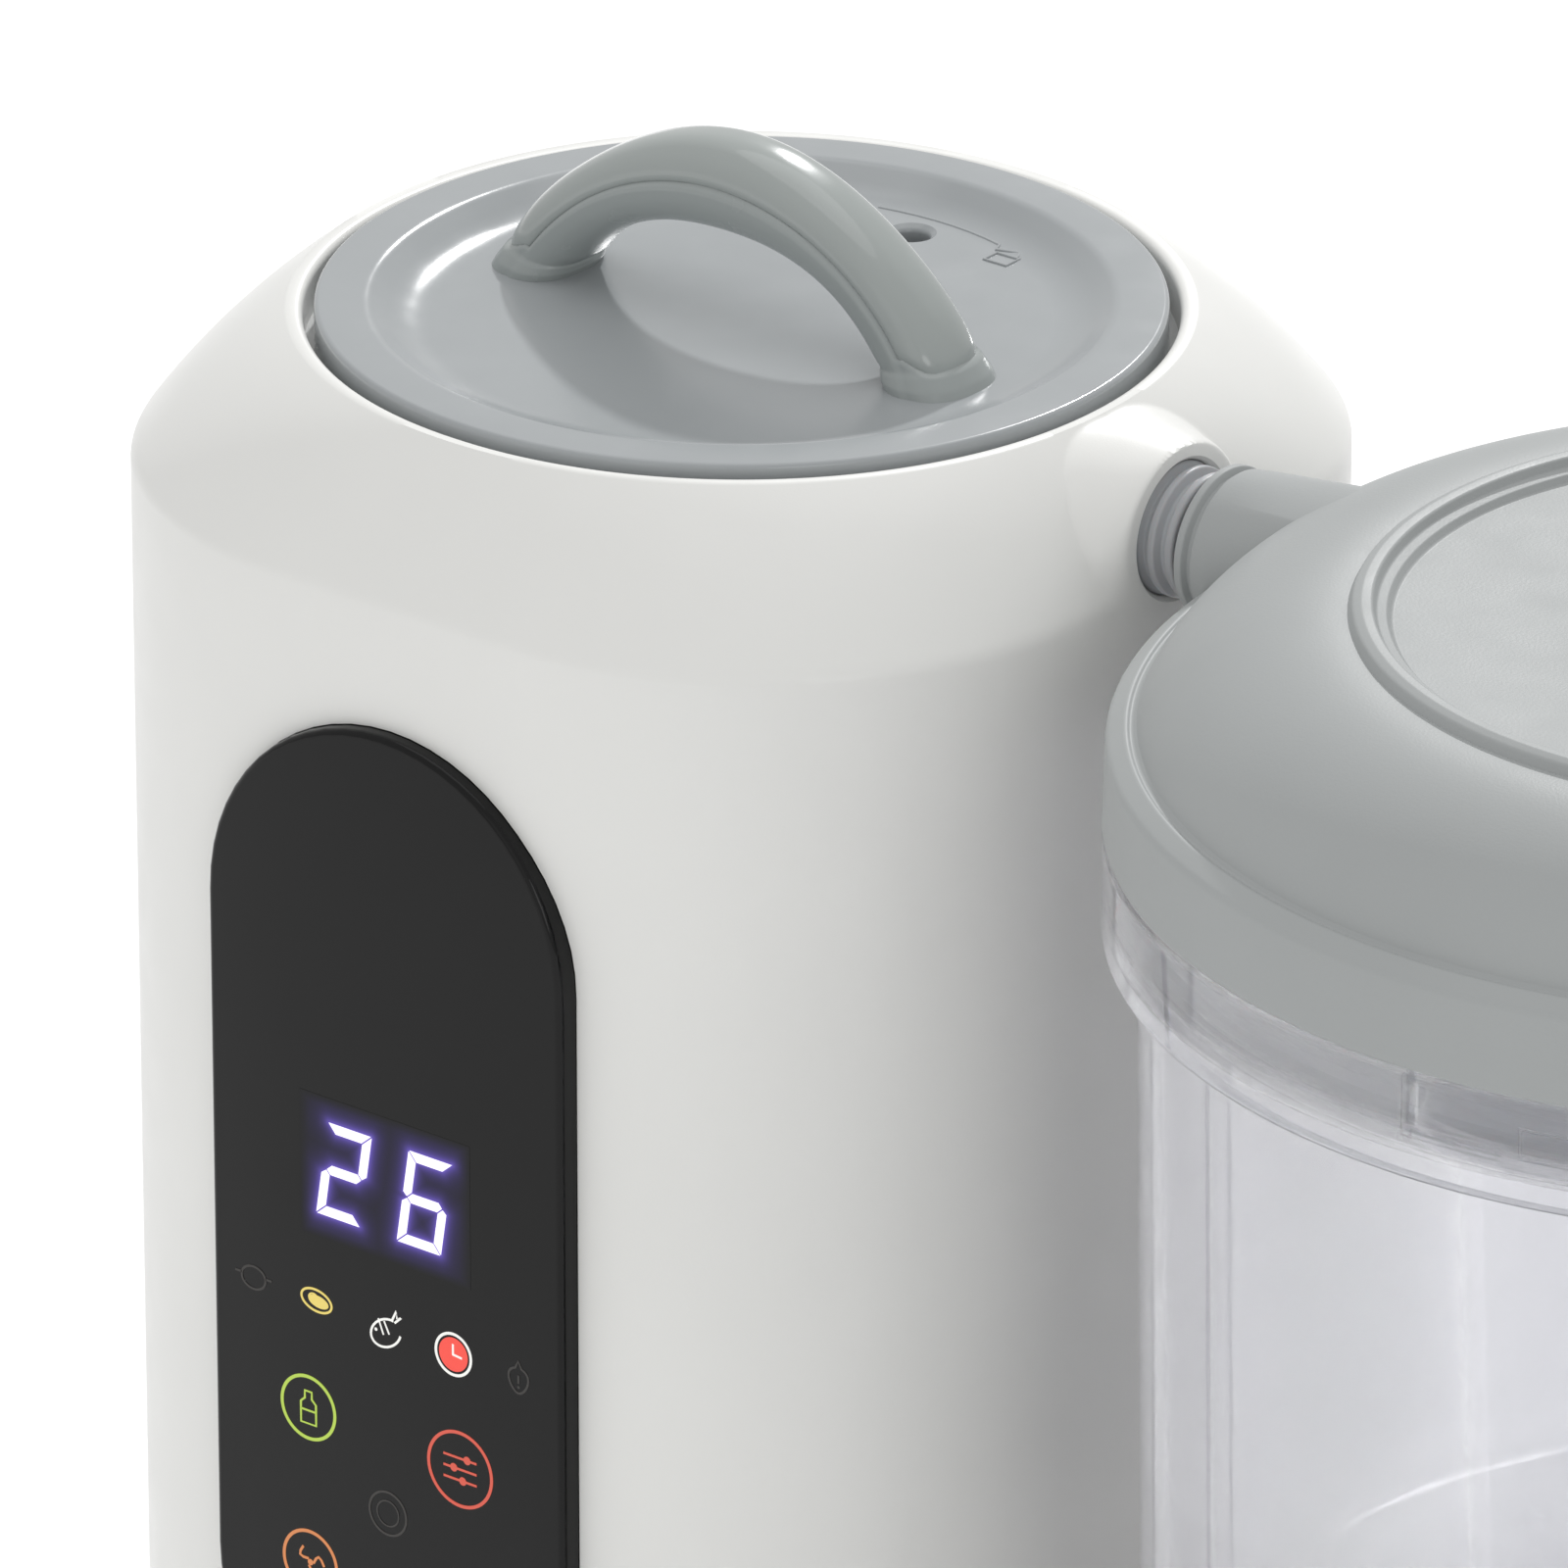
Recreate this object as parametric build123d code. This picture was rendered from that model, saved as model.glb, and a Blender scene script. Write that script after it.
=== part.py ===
"""Baby food maker: a steam tower with a water tank, standing on a plinth beside a clear blending jar.

Millimetres, +Z up. The origin is the middle of the footprint on the table. The controls face -Y,
the tower stands on the -X side and the jar, with its handle, on the +X side.
"""

import os
from math import atan2, cos, degrees, radians, sin, sqrt

from build123d import *

os.makedirs("parts", exist_ok=True)

# ---- driving dimensions -------------------------------------------------------------------------
WALL = 2.6                  # wall of the white housings
GAP = 0.3                   # play between faces that move past each other
SLIP = 0.05                 # radial play of a pressed or screwed round fit

TOWER_HALF = 67.5           # half the side of the tower's rounded-square plan
TOWER_CORNER = 50.0         # plan corner radius of the tower
PITCH = 160.0               # tower axis to jar axis
RIM_Z = 248.0               # plane of the tank opening, above the table
CREASE_Z = RIM_Z - 17.3     # where the straight wall turns into the shoulder
OPENING_R = 53.3            # mouth of the tank
MOUTH_FLAT = 1.0            # half the straight stretch that is left where the shoulder meets the mouth

FOOT_H = 4.0
FOOT_PEG_R = 4.0
COVER_TOP = 7.0             # top of the bottom cover's plate
PLINTH_TOP = 64.0
PLINTH_STEP = 3.5           # ledge of the plinth round the tower
PLINTH_END_R = 75.0         # round end of the plinth under the jar
PLATE_T = 3.0               # top plate of the plinth
SEAT_R = 66.5               # round recess that the jar stands in
SEAT_Z = PLINTH_TOP - 6.0   # floor of that recess
SEAT_HOLE_R = 14.0          # hole in that floor for the motor shaft and its seal

LID_R = 83.0                # band of the jar lid and rim of the jar
JAR_R = 78.8                # jar wall outside, under the rim
JAR_FOOT_R = 77.2
JAR_WALL = 2.4
JAR_FLOOR_Z = 75.0          # underside of the jar floor
JAR_RIM_Z = RIM_Z - 38.8    # underside of the jar's wide rim
LID_BAND_Z = RIM_Z - 25.0   # lower edge of the jar lid
HANDLE_REACH = 30.0         # how far the jar handle stands out past the lid
HANDLE_HIGH_Z = 190.0
HANDLE_LOW_Z = 104.0

PORT_Z = RIM_Z - 11.8       # axis of the steam port and spout
PORT_BOSS_R = 11.2
DUCT_R = 4.2                # bore of the steam duct

TOWER_X = -(PITCH + LID_R + HANDLE_REACH - TOWER_HALF - PLINTH_STEP) / 2
JAR_X = TOWER_X + PITCH

PANEL_HALF = 27.6           # half width of the control panel, and radius of its round ends
PANEL_TOP = RIM_Z - 33.6
PANEL_BOTTOM = RIM_Z - 177.5
PANEL_T = 2.0               # how far the panel stands proud of the wall
PANEL_SINK = 1.1            # how far it is let into the wall
DIGITS_Z = RIM_Z - 93.5     # middle of the two-digit display
KEY_ROWS = (RIM_Z - 126.9, RIM_Z - 148.1)
KEY_X = 12.0

MOTOR_R = 28.0
SHAFT_R = 4.0
BLADE_R = 31.0


# ---- small helpers ------------------------------------------------------------------------------
def save(name, shape):
    """Write one named piece, or a group of equal pieces."""
    export_step(shape, f"parts/{name}.step")


def group(shapes):
    """A node of several separate solids."""
    return Compound(children=[solid for shape in shapes for solid in shape.solids()])


def rod(radius, low, high, x=0.0, y=0.0):
    """Upright cylinder from height low to height high."""
    return Pos(x, y, low) * extrude(Circle(radius), high - low)


def ring(outer, inner, low, high, x=0.0, y=0.0):
    """Upright ring from height low to height high."""
    return Pos(x, y, low) * extrude(Circle(outer) - Circle(inner), high - low)


def block(x, y, z):
    """Box from three (low, high) pairs."""
    size = [high - low for low, high in (x, y, z)]
    middle = [(high + low) / 2 for low, high in (x, y, z)]
    return Pos(*middle) * Box(*size)


def rod_x(radius, low, high, y=0.0, z=0.0):
    """Cylinder along X from low to high."""
    start = Plane(origin=(low, y, z), x_dir=(0, 1, 0), z_dir=(1, 0, 0))
    return start * extrude(Circle(radius), high - low)


def rod_y(radius, low, high, x=0.0, z=0.0):
    """Cylinder along Y from low to high."""
    start = Plane(origin=(x, low, z), x_dir=(1, 0, 0), z_dir=(0, 1, 0))
    return start * extrude(Circle(radius), high - low)


def turned(x, start, *steps):
    """Solid of revolution about the upright axis at x.

    Each step is a point (radius, height), or a pair of points (through, end) for an arc.
    """
    def point(pair):
        return (pair[0], 0, pair[1])

    edges = []
    here = start
    for step in steps:
        if isinstance(step[0], tuple):
            edges.append(ThreePointArc(point(here), point(step[0]), point(step[1])))
            here = step[1]
        else:
            edges.append(Line(point(here), point(step)))
            here = step
    edges.append(Line(point(here), point(start)))
    return Pos(x, 0, 0) * revolve(make_face(edges), Axis.Z)


def around(count, radius, x=0.0, y=0.0, first=0.0):
    """Points evenly spaced on a circle."""
    angles = [radians(first + 360 * i / count) for i in range(count)]
    return [(x + radius * cos(a), y + radius * sin(a)) for a in angles]


# ---- housings -----------------------------------------------------------------------------------
def tower_plan(half, straight):
    """Rounded square whose sides keep a straight stretch of 2 x straight."""
    return RectangleRounded(2 * half, 2 * half, half - straight)


def tower_body(inset, low):
    """Straight tower with the convex shoulder that runs up to the round mouth."""
    straight = TOWER_HALF - TOWER_CORNER
    half = TOWER_HALF - inset
    mouth = OPENING_R + 2.0 - inset
    drop = 0.8 * inset
    walls = Pos(TOWER_X, 0, low) * extrude(tower_plan(half, straight), CREASE_Z - drop - low)
    knee = (half - 4.6, CREASE_Z + 10.6 - drop)
    sections = []
    for t in (0, 0.25, 0.5, 0.75, 1):
        weights = ((1 - t) ** 2, 2 * t * (1 - t), t ** 2)
        reach = weights[0] * half + weights[1] * knee[0] + weights[2] * mouth
        height = weights[0] * (CREASE_Z - drop) + weights[1] * knee[1] + weights[2] * (RIM_Z - drop)
        flat = straight * (1 - t) + MOUTH_FLAT * t
        sections.append(Pos(TOWER_X, 0, height) * tower_plan(reach, flat))
    return walls + loft(sections)


def tower_shell():
    """White tower moulding, open below, with the tank mouth, steam port and display window."""
    shell = tower_body(0, PLINTH_TOP) - tower_body(WALL, PLINTH_TOP)
    shell += ring(OPENING_R + 2.6, OPENING_R - 0.4, RIM_Z - 5.5, RIM_Z - 1.5, TOWER_X)
    mouth = turned(TOWER_X, (0, RIM_Z + 4), (OPENING_R + 3, RIM_Z + 4), (OPENING_R + 1.5, RIM_Z),
                   ((OPENING_R + 0.44, RIM_Z - 0.44), (OPENING_R, RIM_Z - 1.5)),
                   (OPENING_R, RIM_Z - 12), (0, RIM_Z - 12))
    wall_x = TOWER_X + TOWER_HALF
    boss = rod_x(PORT_BOSS_R, TOWER_X + OPENING_R + 3.5, wall_x, z=PORT_Z)
    shell = shell + boss - mouth
    shell -= rod_x(8.4, wall_x - 6, wall_x + 1, z=PORT_Z)
    shell -= rod_x(DUCT_R + 2.0, TOWER_X + 45, wall_x, z=PORT_Z)
    for x, z in board_posts():
        shell += rod_y(3.2, BOARD_FRONT, -(TOWER_HALF - WALL), x, z)
    window = block((TOWER_X - 19, TOWER_X + 19), (-TOWER_HALF - 1, -TOWER_HALF + WALL + 1),
                   (KEY_ROWS[1] - 7, DIGITS_Z + 13))
    shell = shell - window - panel_blank(0.1)
    for x, y in tower_screw_places():
        shell += rod(4.5, PLINTH_TOP, PLINTH_TOP + 14, x, y)
        web = block((0, 8.0), (-1.2, 1.2), (PLINTH_TOP, PLINTH_TOP + 13))
        shell += Pos(x, y, 0) * Rot(0, 0, degrees(atan2(y, x - TOWER_X))) * Pos(3.5, 0, 0) * web
        shell -= rod(1.6 + SLIP, PLINTH_TOP - 1, PLINTH_TOP + 11, x, y)
    return shell


def tower_screw_places():
    return around(4, 62, TOWER_X, 0, first=45)


def plinth_plan(inset):
    """Outline round the tower's foot and the round end under the jar, joined by straight flanks."""
    half = TOWER_HALF + PLINTH_STEP - inset
    corner = TOWER_CORNER + PLINTH_STEP - inset
    square = Pos(TOWER_X, 0) * RectangleRounded(2 * half, 2 * half, corner)
    end = Pos(JAR_X, 0) * Circle(PLINTH_END_R - inset)
    return make_hull((square.edges() + end.edges()))


def cover_posts():
    """Where the screws of the bottom cover sit."""
    from_jar = [(JAR_X + 48, side * 40) for side in (1, -1)]
    middle = [(TOWER_X + 72, side * 58) for side in (-1, 1)]
    near_tower = [(TOWER_X - 58, side * 28) for side in (-1, 1)]
    return from_jar + middle + near_tower


PLUNGER_PLACE = (JAR_X, 53.0)
GLAND_Z = 28.0
GLAND_R = 3.25


def base_housing():
    """White plinth moulding with the jar seat."""
    low = COVER_TOP + GAP
    outside = Pos(0, 0, low) * extrude(plinth_plan(0), PLINTH_TOP - low)
    rim = outside.faces().sort_by(Axis.Z)[-1]
    outside = fillet(rim.edges(), 3.0)
    inside = Pos(0, 0, low) * extrude(plinth_plan(WALL), PLINTH_TOP - PLATE_T - low)
    housing = outside - inside
    housing += rod(SEAT_R + WALL, SEAT_Z - PLATE_T, PLINTH_TOP - PLATE_T, JAR_X)
    housing -= rod(SEAT_R, SEAT_Z, PLINTH_TOP + 1, JAR_X)
    for x, y in cover_posts():
        housing += rod(5.0, low + 6, SEAT_Z - PLATE_T, x, y)
        if x < JAR_X:
            housing += rod(5.0, SEAT_Z - PLATE_T, PLINTH_TOP - PLATE_T, x, y)
        housing -= rod(1.8 + SLIP, low, 24, x, y)
    housing += ring(SEAT_HOLE_R + 2.5, SEAT_HOLE_R, SEAT_Z, SEAT_Z + 1.4, JAR_X)
    housing -= rod(SEAT_HOLE_R, SEAT_Z - PLATE_T - 1, SEAT_Z + 3, JAR_X)
    px, py = PLUNGER_PLACE
    housing -= rod(3.0 + GAP, SEAT_Z - PLATE_T - 1, SEAT_Z + 1, px, py)
    for x in (px - 11, px + 11):
        housing += block((x - 1.5, x + 1.5), (py - 3, py + 3), (SWITCH_TOP, SEAT_Z - PLATE_T))
    for x, y in tower_screw_places():
        housing -= rod(2.0, PLINTH_TOP - PLATE_T - 1, PLINTH_TOP + 1, x, y)
    housing -= rod(8.0, PLINTH_TOP - PLATE_T - 1, PLINTH_TOP + 1, TOWER_X, -20)
    back = TOWER_HALF + PLINTH_STEP
    housing -= rod_y(7.0, back - WALL - 1, back + 1, TOWER_X, GLAND_Z)
    return housing


def feet_places():
    return [(TOWER_X - 42, -44), (TOWER_X - 42, 44), (JAR_X + 30, -50), (JAR_X + 30, 50)]


def bottom_cover():
    """Tray under the plinth, with a locating wall, air slots and stand-offs for the power board."""
    cover = Pos(0, 0, FOOT_H) * extrude(plinth_plan(0.8), COVER_TOP - FOOT_H)
    wall = plinth_plan(WALL + GAP) - plinth_plan(WALL + GAP + 1.8)
    cover += Pos(0, 0, COVER_TOP) * extrude(wall, 5)
    for x, y in cover_posts():
        cover -= rod(3.8, FOOT_H - 1, FOOT_H + 1.8, x, y)
        cover -= rod(2.1, FOOT_H, COVER_TOP + 1, x, y)
    for x, y in feet_places():
        cover -= rod(FOOT_PEG_R + SLIP, FOOT_H - 1, COVER_TOP + 1, x, y)
    for i in range(-4, 5):
        reach = sqrt(26 ** 2 - (5.5 * i) ** 2)
        slot = Pos(JAR_X + 5.5 * i, 0, FOOT_H - 1) * extrude(SlotOverall(2 * reach, 2.6, rotation=90), 6)
        cover -= slot
    for x, y in power_board_posts():
        cover += rod(3.0, COVER_TOP, POWER_BOARD_Z, x, y)
    return cover


def rubber_feet():
    """Rubber pads, each with a peg that is pressed through the cover."""
    peg_top = COVER_TOP + 0.6
    pad = turned(0, (0, 0), (7.6, 0), ((8.7, 0.4), (9.2, 1.4)), (9.6, FOOT_H), (FOOT_PEG_R, FOOT_H),
                 (FOOT_PEG_R, peg_top), (0, peg_top))
    return group([Pos(x, y, 0) * pad for x, y in feet_places()])


def cover_screws():
    screws = []
    for x, y in cover_posts():
        screw = rod(3.6, FOOT_H + 0.3, FOOT_H + 1.8, x, y) + rod(1.8, FOOT_H + 1.8, 22, x, y)
        slot = block((x - 2.4, x + 2.4), (y - 0.4, y + 0.4), (FOOT_H, FOOT_H + 1.0))
        cross = block((x - 0.4, x + 0.4), (y - 2.4, y + 2.4), (FOOT_H, FOOT_H + 1.0))
        screws.append(screw - slot - cross)
    return group(screws)


def tower_screws():
    screws = []
    top = PLINTH_TOP - PLATE_T
    for x, y in tower_screw_places():
        screw = rod(3.2, top - 2, top, x, y) + rod(1.6, top, PLINTH_TOP + 9, x, y)
        screws.append(screw - block((x - 2.2, x + 2.2), (y - 0.4, y + 0.4), (top - 3, top - 1.2)))
    return group(screws)


def cord_gland():
    """Rubber bushing in the back wall of the plinth, which leans out slightly towards the jar."""
    back = TOWER_HALF + PLINTH_STEP + 0.7
    inside = back - WALL - 0.9
    gland = rod_y(9.4, back, back + 2.4, TOWER_X, GLAND_Z)
    gland = fillet(gland.edges().sort_by(Axis.Y)[-1], 1.0)
    gland += rod_y(7.0 - SLIP, inside, back, TOWER_X, GLAND_Z)
    gland += rod_y(9.0, inside - 2, inside, TOWER_X, GLAND_Z)
    gland += rod_y(5.6, inside - 7, inside - 2, TOWER_X, GLAND_Z)
    return gland - rod_y(GLAND_R, back - 20, back + 5, TOWER_X, GLAND_Z)


# ---- controls -----------------------------------------------------------------------------------
PANEL_BACK = -(TOWER_HALF - PANEL_SINK)
BOARD_FRONT = -59.6
BOARD_T = 1.6


def board_posts():
    return [(TOWER_X + sx * 23.5, z) for sx in (-1, 1) for z in (KEY_ROWS[1] - 10, DIGITS_Z + 16)]


def stadium(half, low, high):
    """Oblong with round ends, in the plane of the tower's front wall."""
    return Pos((low + high) / 2, 0) * SlotOverall(high - low, 2 * half)


def panel_blank(grow):
    """Plate from its seat in the wall to its front face, grown all round by grow."""
    seat = Plane(origin=(TOWER_X, PANEL_BACK + grow, 0), x_dir=(0, 0, 1), z_dir=(0, -1, 0))
    outline = stadium(PANEL_HALF + grow, PANEL_BOTTOM - grow, PANEL_TOP + grow)
    return seat * extrude(outline, PANEL_T + PANEL_SINK)


def control_panel():
    """Glossy touch plate with round ends, standing proud of the front wall."""
    plate = panel_blank(0)
    edge = plate.faces().sort_by(Axis.Y)[0].edges()
    return chamfer(edge, 0.7)


def display_module():
    """Block of two seven-segment digits behind the panel."""
    return block((TOWER_X - 12.6, TOWER_X + 12.6), (PANEL_BACK + 0.1, BOARD_FRONT),
                 (DIGITS_Z - 9.5, DIGITS_Z + 9.5))


def control_board():
    back = BOARD_FRONT + BOARD_T
    board = block((TOWER_X - 28, TOWER_X + 28), (BOARD_FRONT, back), (KEY_ROWS[1] - 15, DIGITS_Z + 21))
    for x, z in board_posts():
        board -= rod_y(1.6, BOARD_FRONT - 1, back + 1, x, z)
    return board


def key_places():
    return [(TOWER_X + sx * KEY_X, z) for z in KEY_ROWS for sx in (-1, 1)]


def touch_springs():
    """Sensing springs between the board and the back of the panel, one at each touch key."""
    springs = []
    for x, z in key_places():
        tube = rod_y(3.0, PANEL_BACK + 0.1, BOARD_FRONT, x, z)
        springs.append(tube - rod_y(2.2, PANEL_BACK - 1, BOARD_FRONT - 0.6, x, z))
    return group(springs)


def board_screws():
    screws = []
    back = BOARD_FRONT + BOARD_T
    for x, z in board_posts():
        screws.append(rod_y(2.8, back, back + 1.8, x, z) + rod_y(1.5, BOARD_FRONT, back, x, z))
    return group(screws)


POWER_BOARD_Z = 16.0


def power_board_posts():
    return [(TOWER_X + sx * 32, sy * 26) for sx in (-1, 1) for sy in (-1, 1)]


def power_board():
    return block((TOWER_X - 37, TOWER_X + 37), (-31, 31), (POWER_BOARD_Z, POWER_BOARD_Z + 1.6))


def power_parts():
    """Transformer, relays, capacitors, terminal block and heat sink on the power board."""
    low = POWER_BOARD_Z + 1.6
    transformer = block((TOWER_X - 30, TOWER_X - 6), (-10, 12), (low, low + 20))
    relay_a = block((TOWER_X + 2, TOWER_X + 21), (-24, -12), (low, low + 15))
    relay_b = block((TOWER_X + 2, TOWER_X + 21), (-8, 4), (low, low + 15))
    terminals = block((TOWER_X - 12, TOWER_X + 12), (20, 28), (low, low + 10))
    sink = block((TOWER_X + 26, TOWER_X + 28), (-15, 15), (low, low + 22))
    for i in range(-2, 3):
        sink += block((TOWER_X + 28, TOWER_X + 34), (6 * i - 0.8, 6 * i + 0.8), (low, low + 22))
    capacitors = [rod(5, low, low + 16, TOWER_X + x, y) for x, y in ((-24, -22), (-10, -22), (8, 13))]
    return group([transformer, relay_a, relay_b, terminals, sink] + capacitors)


# ---- tank and steam path ------------------------------------------------------------------------
TANK_TOP = RIM_Z - 5.5
TANK_FLOOR = 106.0
TANK_IN = 50.0
TANK_OUT = 52.2


def water_tank():
    """Cup under the tower's mouth, open to the heating plate below."""
    wall = 2.4
    flange = OPENING_R + 2.4
    tank = turned(TOWER_X, (TANK_IN, TANK_TOP), (flange, TANK_TOP), (flange, TANK_TOP - wall),
                  (TANK_OUT, TANK_TOP - wall), (TANK_OUT, TANK_FLOOR - wall), (43, TANK_FLOOR - wall),
                  (43, TANK_FLOOR), (TANK_IN, TANK_FLOOR))
    return tank - rod_x(DUCT_R + 1.8 + SLIP, TOWER_X + 40, TOWER_X + 56, z=PORT_Z)


def boiler_seal():
    return ring(TANK_IN - SLIP, 44.5, TANK_FLOOR, TANK_FLOOR + 1.6, TOWER_X)


def heating_plate():
    """Steel plate that the water stands on, with a raised centre."""
    z = TANK_FLOOR + 1.6
    edge = TANK_IN - 0.4
    return turned(TOWER_X, (0, z), (edge, z), (edge, z + 1.2), (26, z + 1.2), (22, z + 3.2), (0, z + 3.2))


def heat_spreader():
    z = TANK_FLOOR + 1.6
    return rod(42, z - 4, z, TOWER_X) - ring(34.0, 26.0, z - 5, z - 2.2, TOWER_X)


def heating_element():
    """C-shaped tubular heater in the groove of the spreader, with two terminals pointing down."""
    z = TANK_FLOOR + 1.6 - 6.2
    start = 25.0
    loop = CenterArc((TOWER_X, 0, z), 30, start, 360 - 2 * start)
    section = Plane(origin=loop @ 0, z_dir=loop % 0) * Circle(3.5)
    element = sweep(section, path=loop)
    for place in (loop @ 0, loop @ 1):
        element += rod(2.0, z - 12, z, place.X, place.Y)
    return element


def thermostat():
    z = TANK_FLOOR - 2.4 - 0.05
    return rod(9, z - 6, z, TOWER_X) + rod(6.5, z - 9, z - 6, TOWER_X)


def thermal_fuse():
    z = TANK_FLOOR - 2.4 - 2.3
    return rod_x(2.1, TOWER_X - 8, TOWER_X + 8, 16, z) + rod_x(0.5, TOWER_X - 18, TOWER_X + 18, 16, z)


def steam_duct():
    """Tube from the head of the tank to the port in the tower's side."""
    tube = rod_x(DUCT_R + 1.8, TOWER_X + TANK_IN, TOWER_X + TOWER_HALF - 6.5, z=PORT_Z)
    return tube - rod_x(DUCT_R, TOWER_X + 40, TOWER_X + TOWER_HALF, z=PORT_Z)


def port_gasket():
    """Soft bellows ring in the port, which the spout of the jar lid faces."""
    start = TOWER_X + TOWER_HALF - 6
    gasket = rod_x(8.4 - SLIP, start, start + 5, z=PORT_Z)
    gasket += rod_x(7.2, start + 5, start + 6.5, z=PORT_Z)
    gasket += rod_x(8.2, start + 6.5, start + 8.0, z=PORT_Z)
    gasket += rod_x(7.0, start + 8.0, start + 9.0, z=PORT_Z)
    gasket += rod_x(7.9, start + 9.0, start + 10.3, z=PORT_Z)
    return gasket - rod_x(DUCT_R + 0.6, start - 1, start + 12, z=PORT_Z)


# ---- tank lid -----------------------------------------------------------------------------------
TANK_LID_R = 52.1
LID_FLOOR_Z = RIM_Z - 2.2   # dished middle of the tank lid


def tank_lid():
    """Round lid with a raised rim, a dished middle, a vent hole and a skirt for the seal."""
    top = RIM_Z + 0.9
    skirt_out, skirt_in, groove = 48.2, 44.8, 46.4
    lid = turned(TOWER_X, (0, LID_FLOOR_Z), (40.5, LID_FLOOR_Z),
                 ((43.4, LID_FLOOR_Z + 0.9), (45.6, top - 0.2)), ((46.3, top), (47.2, top)),
                 (TANK_LID_R - 1.2, top), ((TANK_LID_R - 0.35, top - 0.35), (TANK_LID_R, top - 1.2)),
                 (TANK_LID_R, TANK_TOP + GAP), (skirt_out, TANK_TOP + GAP), (skirt_out, TANK_TOP - 0.4),
                 (groove, TANK_TOP - 0.4), (groove, TANK_TOP - 2.6), (skirt_out, TANK_TOP - 2.6),
                 (skirt_out, TANK_TOP - 3.4), (skirt_in, TANK_TOP - 3.4), (skirt_in, LID_FLOOR_Z - 1.6),
                 (42, LID_FLOOR_Z - 2.4), (0, LID_FLOOR_Z - 2.4))
    for angle in (60, 180, 300):
        a = radians(angle)
        x, y = TOWER_X + (TANK_LID_R - 1.4) * cos(a), (TANK_LID_R - 1.4) * sin(a)
        lid += Pos(x, y, TANK_TOP + GAP + 1.0) * Rot(0, 0, angle) * Box(3.6, 9, 1.6)
    return lid - rod(2.3, RIM_Z - 12, RIM_Z + 2, TOWER_X, 35)


def tank_lid_seal():
    """Silicone ring round the skirt of the tank lid."""
    low, high = TANK_TOP - 2.5, TANK_TOP - 0.5
    return turned(TOWER_X, (46.6, low), (49.0, low), ((49.7, low + 1), (49.0, high)), (46.6, high))


ARCH_HALF = 33.2            # the arch handle's centre line: half span, rise and the radius of its haunches
ARCH_RISE = 18.6
ARCH_SIDE_R = 13.0


def arch(lift, section, first=0.0):
    """Section swept along a three-centred arch in the XZ plane, lifted off its centre line by lift."""
    side_x = ARCH_HALF - ARCH_SIDE_R
    crown_r = (side_x ** 2 + ARCH_RISE ** 2 - ARCH_SIDE_R ** 2) / (2 * (ARCH_RISE - ARCH_SIDE_R))
    join = degrees(atan2(crown_r - ARCH_RISE, side_x))
    right = CenterArc((side_x, 0), ARCH_SIDE_R + lift, first, join - first)
    crown = CenterArc((0, ARCH_RISE - crown_r), crown_r + lift, join, 180 - 2 * join)
    left = CenterArc((-side_x, 0), ARCH_SIDE_R + lift, 180 - join, join - first)
    path = Plane.XZ * (right + crown + left)
    start = Plane(origin=path @ 0, x_dir=(0, 1, 0), z_dir=path % 0)
    return sweep(start * section, path=path)


def handle_arch():
    """Arched grip with flared feet and a channel for its insert, standing on z = 0."""
    grip = arch(0, RectangleRounded(13.4, 10.8, 4.6))
    for side in (-1, 1):
        foot = Pos(side * ARCH_HALF, 0, 0) * extrude(RectangleRounded(13.6, 16.4, 5.6), 2.2)
        grip += fillet(foot.faces().sort_by(Axis.Z)[-1].edges(), 1.4)
    return grip - handle_strip(SLIP)


def handle_strip(play):
    """Strip along the back of the arch, from just above one foot to just above the other."""
    return arch(4.3, RectangleRounded(9.4 + 2 * play, 3.0 + 2 * play, 1.3), first=11)


def tank_handle():
    return Pos(TOWER_X, 0, LID_FLOOR_Z) * handle_arch()


def tank_handle_insert():
    return Pos(TOWER_X, 0, LID_FLOOR_Z) * handle_strip(0)


# ---- jar ----------------------------------------------------------------------------------------
RIM_TOP = LID_BAND_Z - GAP
RIM_IN = LID_R - JAR_WALL


BUSH_R = 7.2                # hole in the jar's floor for the bearing sleeve
HANDLE_SCREW_R = 1.6
HANDLE_SCREW_X = JAR_X + LID_R + 1


def handle_lug_places():
    return (HANDLE_HIGH_Z, HANDLE_LOW_Z)


def jar_body():
    """Clear jar with a wide rim, a rounded foot and two lugs for the handle."""
    foot_top, floor_top, ledge = JAR_FLOOR_Z + 11, JAR_FLOOR_Z + 2.8, JAR_RIM_Z + 2.6
    foot_in = JAR_FOOT_R - JAR_WALL
    jar = turned(JAR_X, (BUSH_R, JAR_FLOOR_Z), (JAR_FOOT_R - 11, JAR_FLOOR_Z),
                 ((JAR_FOOT_R - 3.2, JAR_FLOOR_Z + 3.2), (JAR_FOOT_R, foot_top)),
                 (JAR_R, JAR_RIM_Z - 1.5), ((JAR_R + 0.9, JAR_RIM_Z - 0.4), (JAR_R + 2, JAR_RIM_Z)),
                 (LID_R - 1.5, JAR_RIM_Z), ((LID_R - 0.44, JAR_RIM_Z + 0.44), (LID_R, JAR_RIM_Z + 1.5)),
                 (LID_R, RIM_TOP), (RIM_IN, RIM_TOP), (RIM_IN, ledge), (JAR_R - JAR_WALL, ledge),
                 (foot_in, foot_top), ((foot_in - 2.5, JAR_FLOOR_Z + 5.4), (foot_in - 8.5, floor_top)),
                 (BUSH_R, floor_top))
    for z in handle_lug_places():
        jar += block((JAR_X + JAR_FOOT_R - 0.2, JAR_X + LID_R + 5), (-4, 4), (z - 3, z + 3))
        jar -= rod(HANDLE_SCREW_R + SLIP, z - 4, z + 4, HANDLE_SCREW_X, 0)
    return jar


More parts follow.
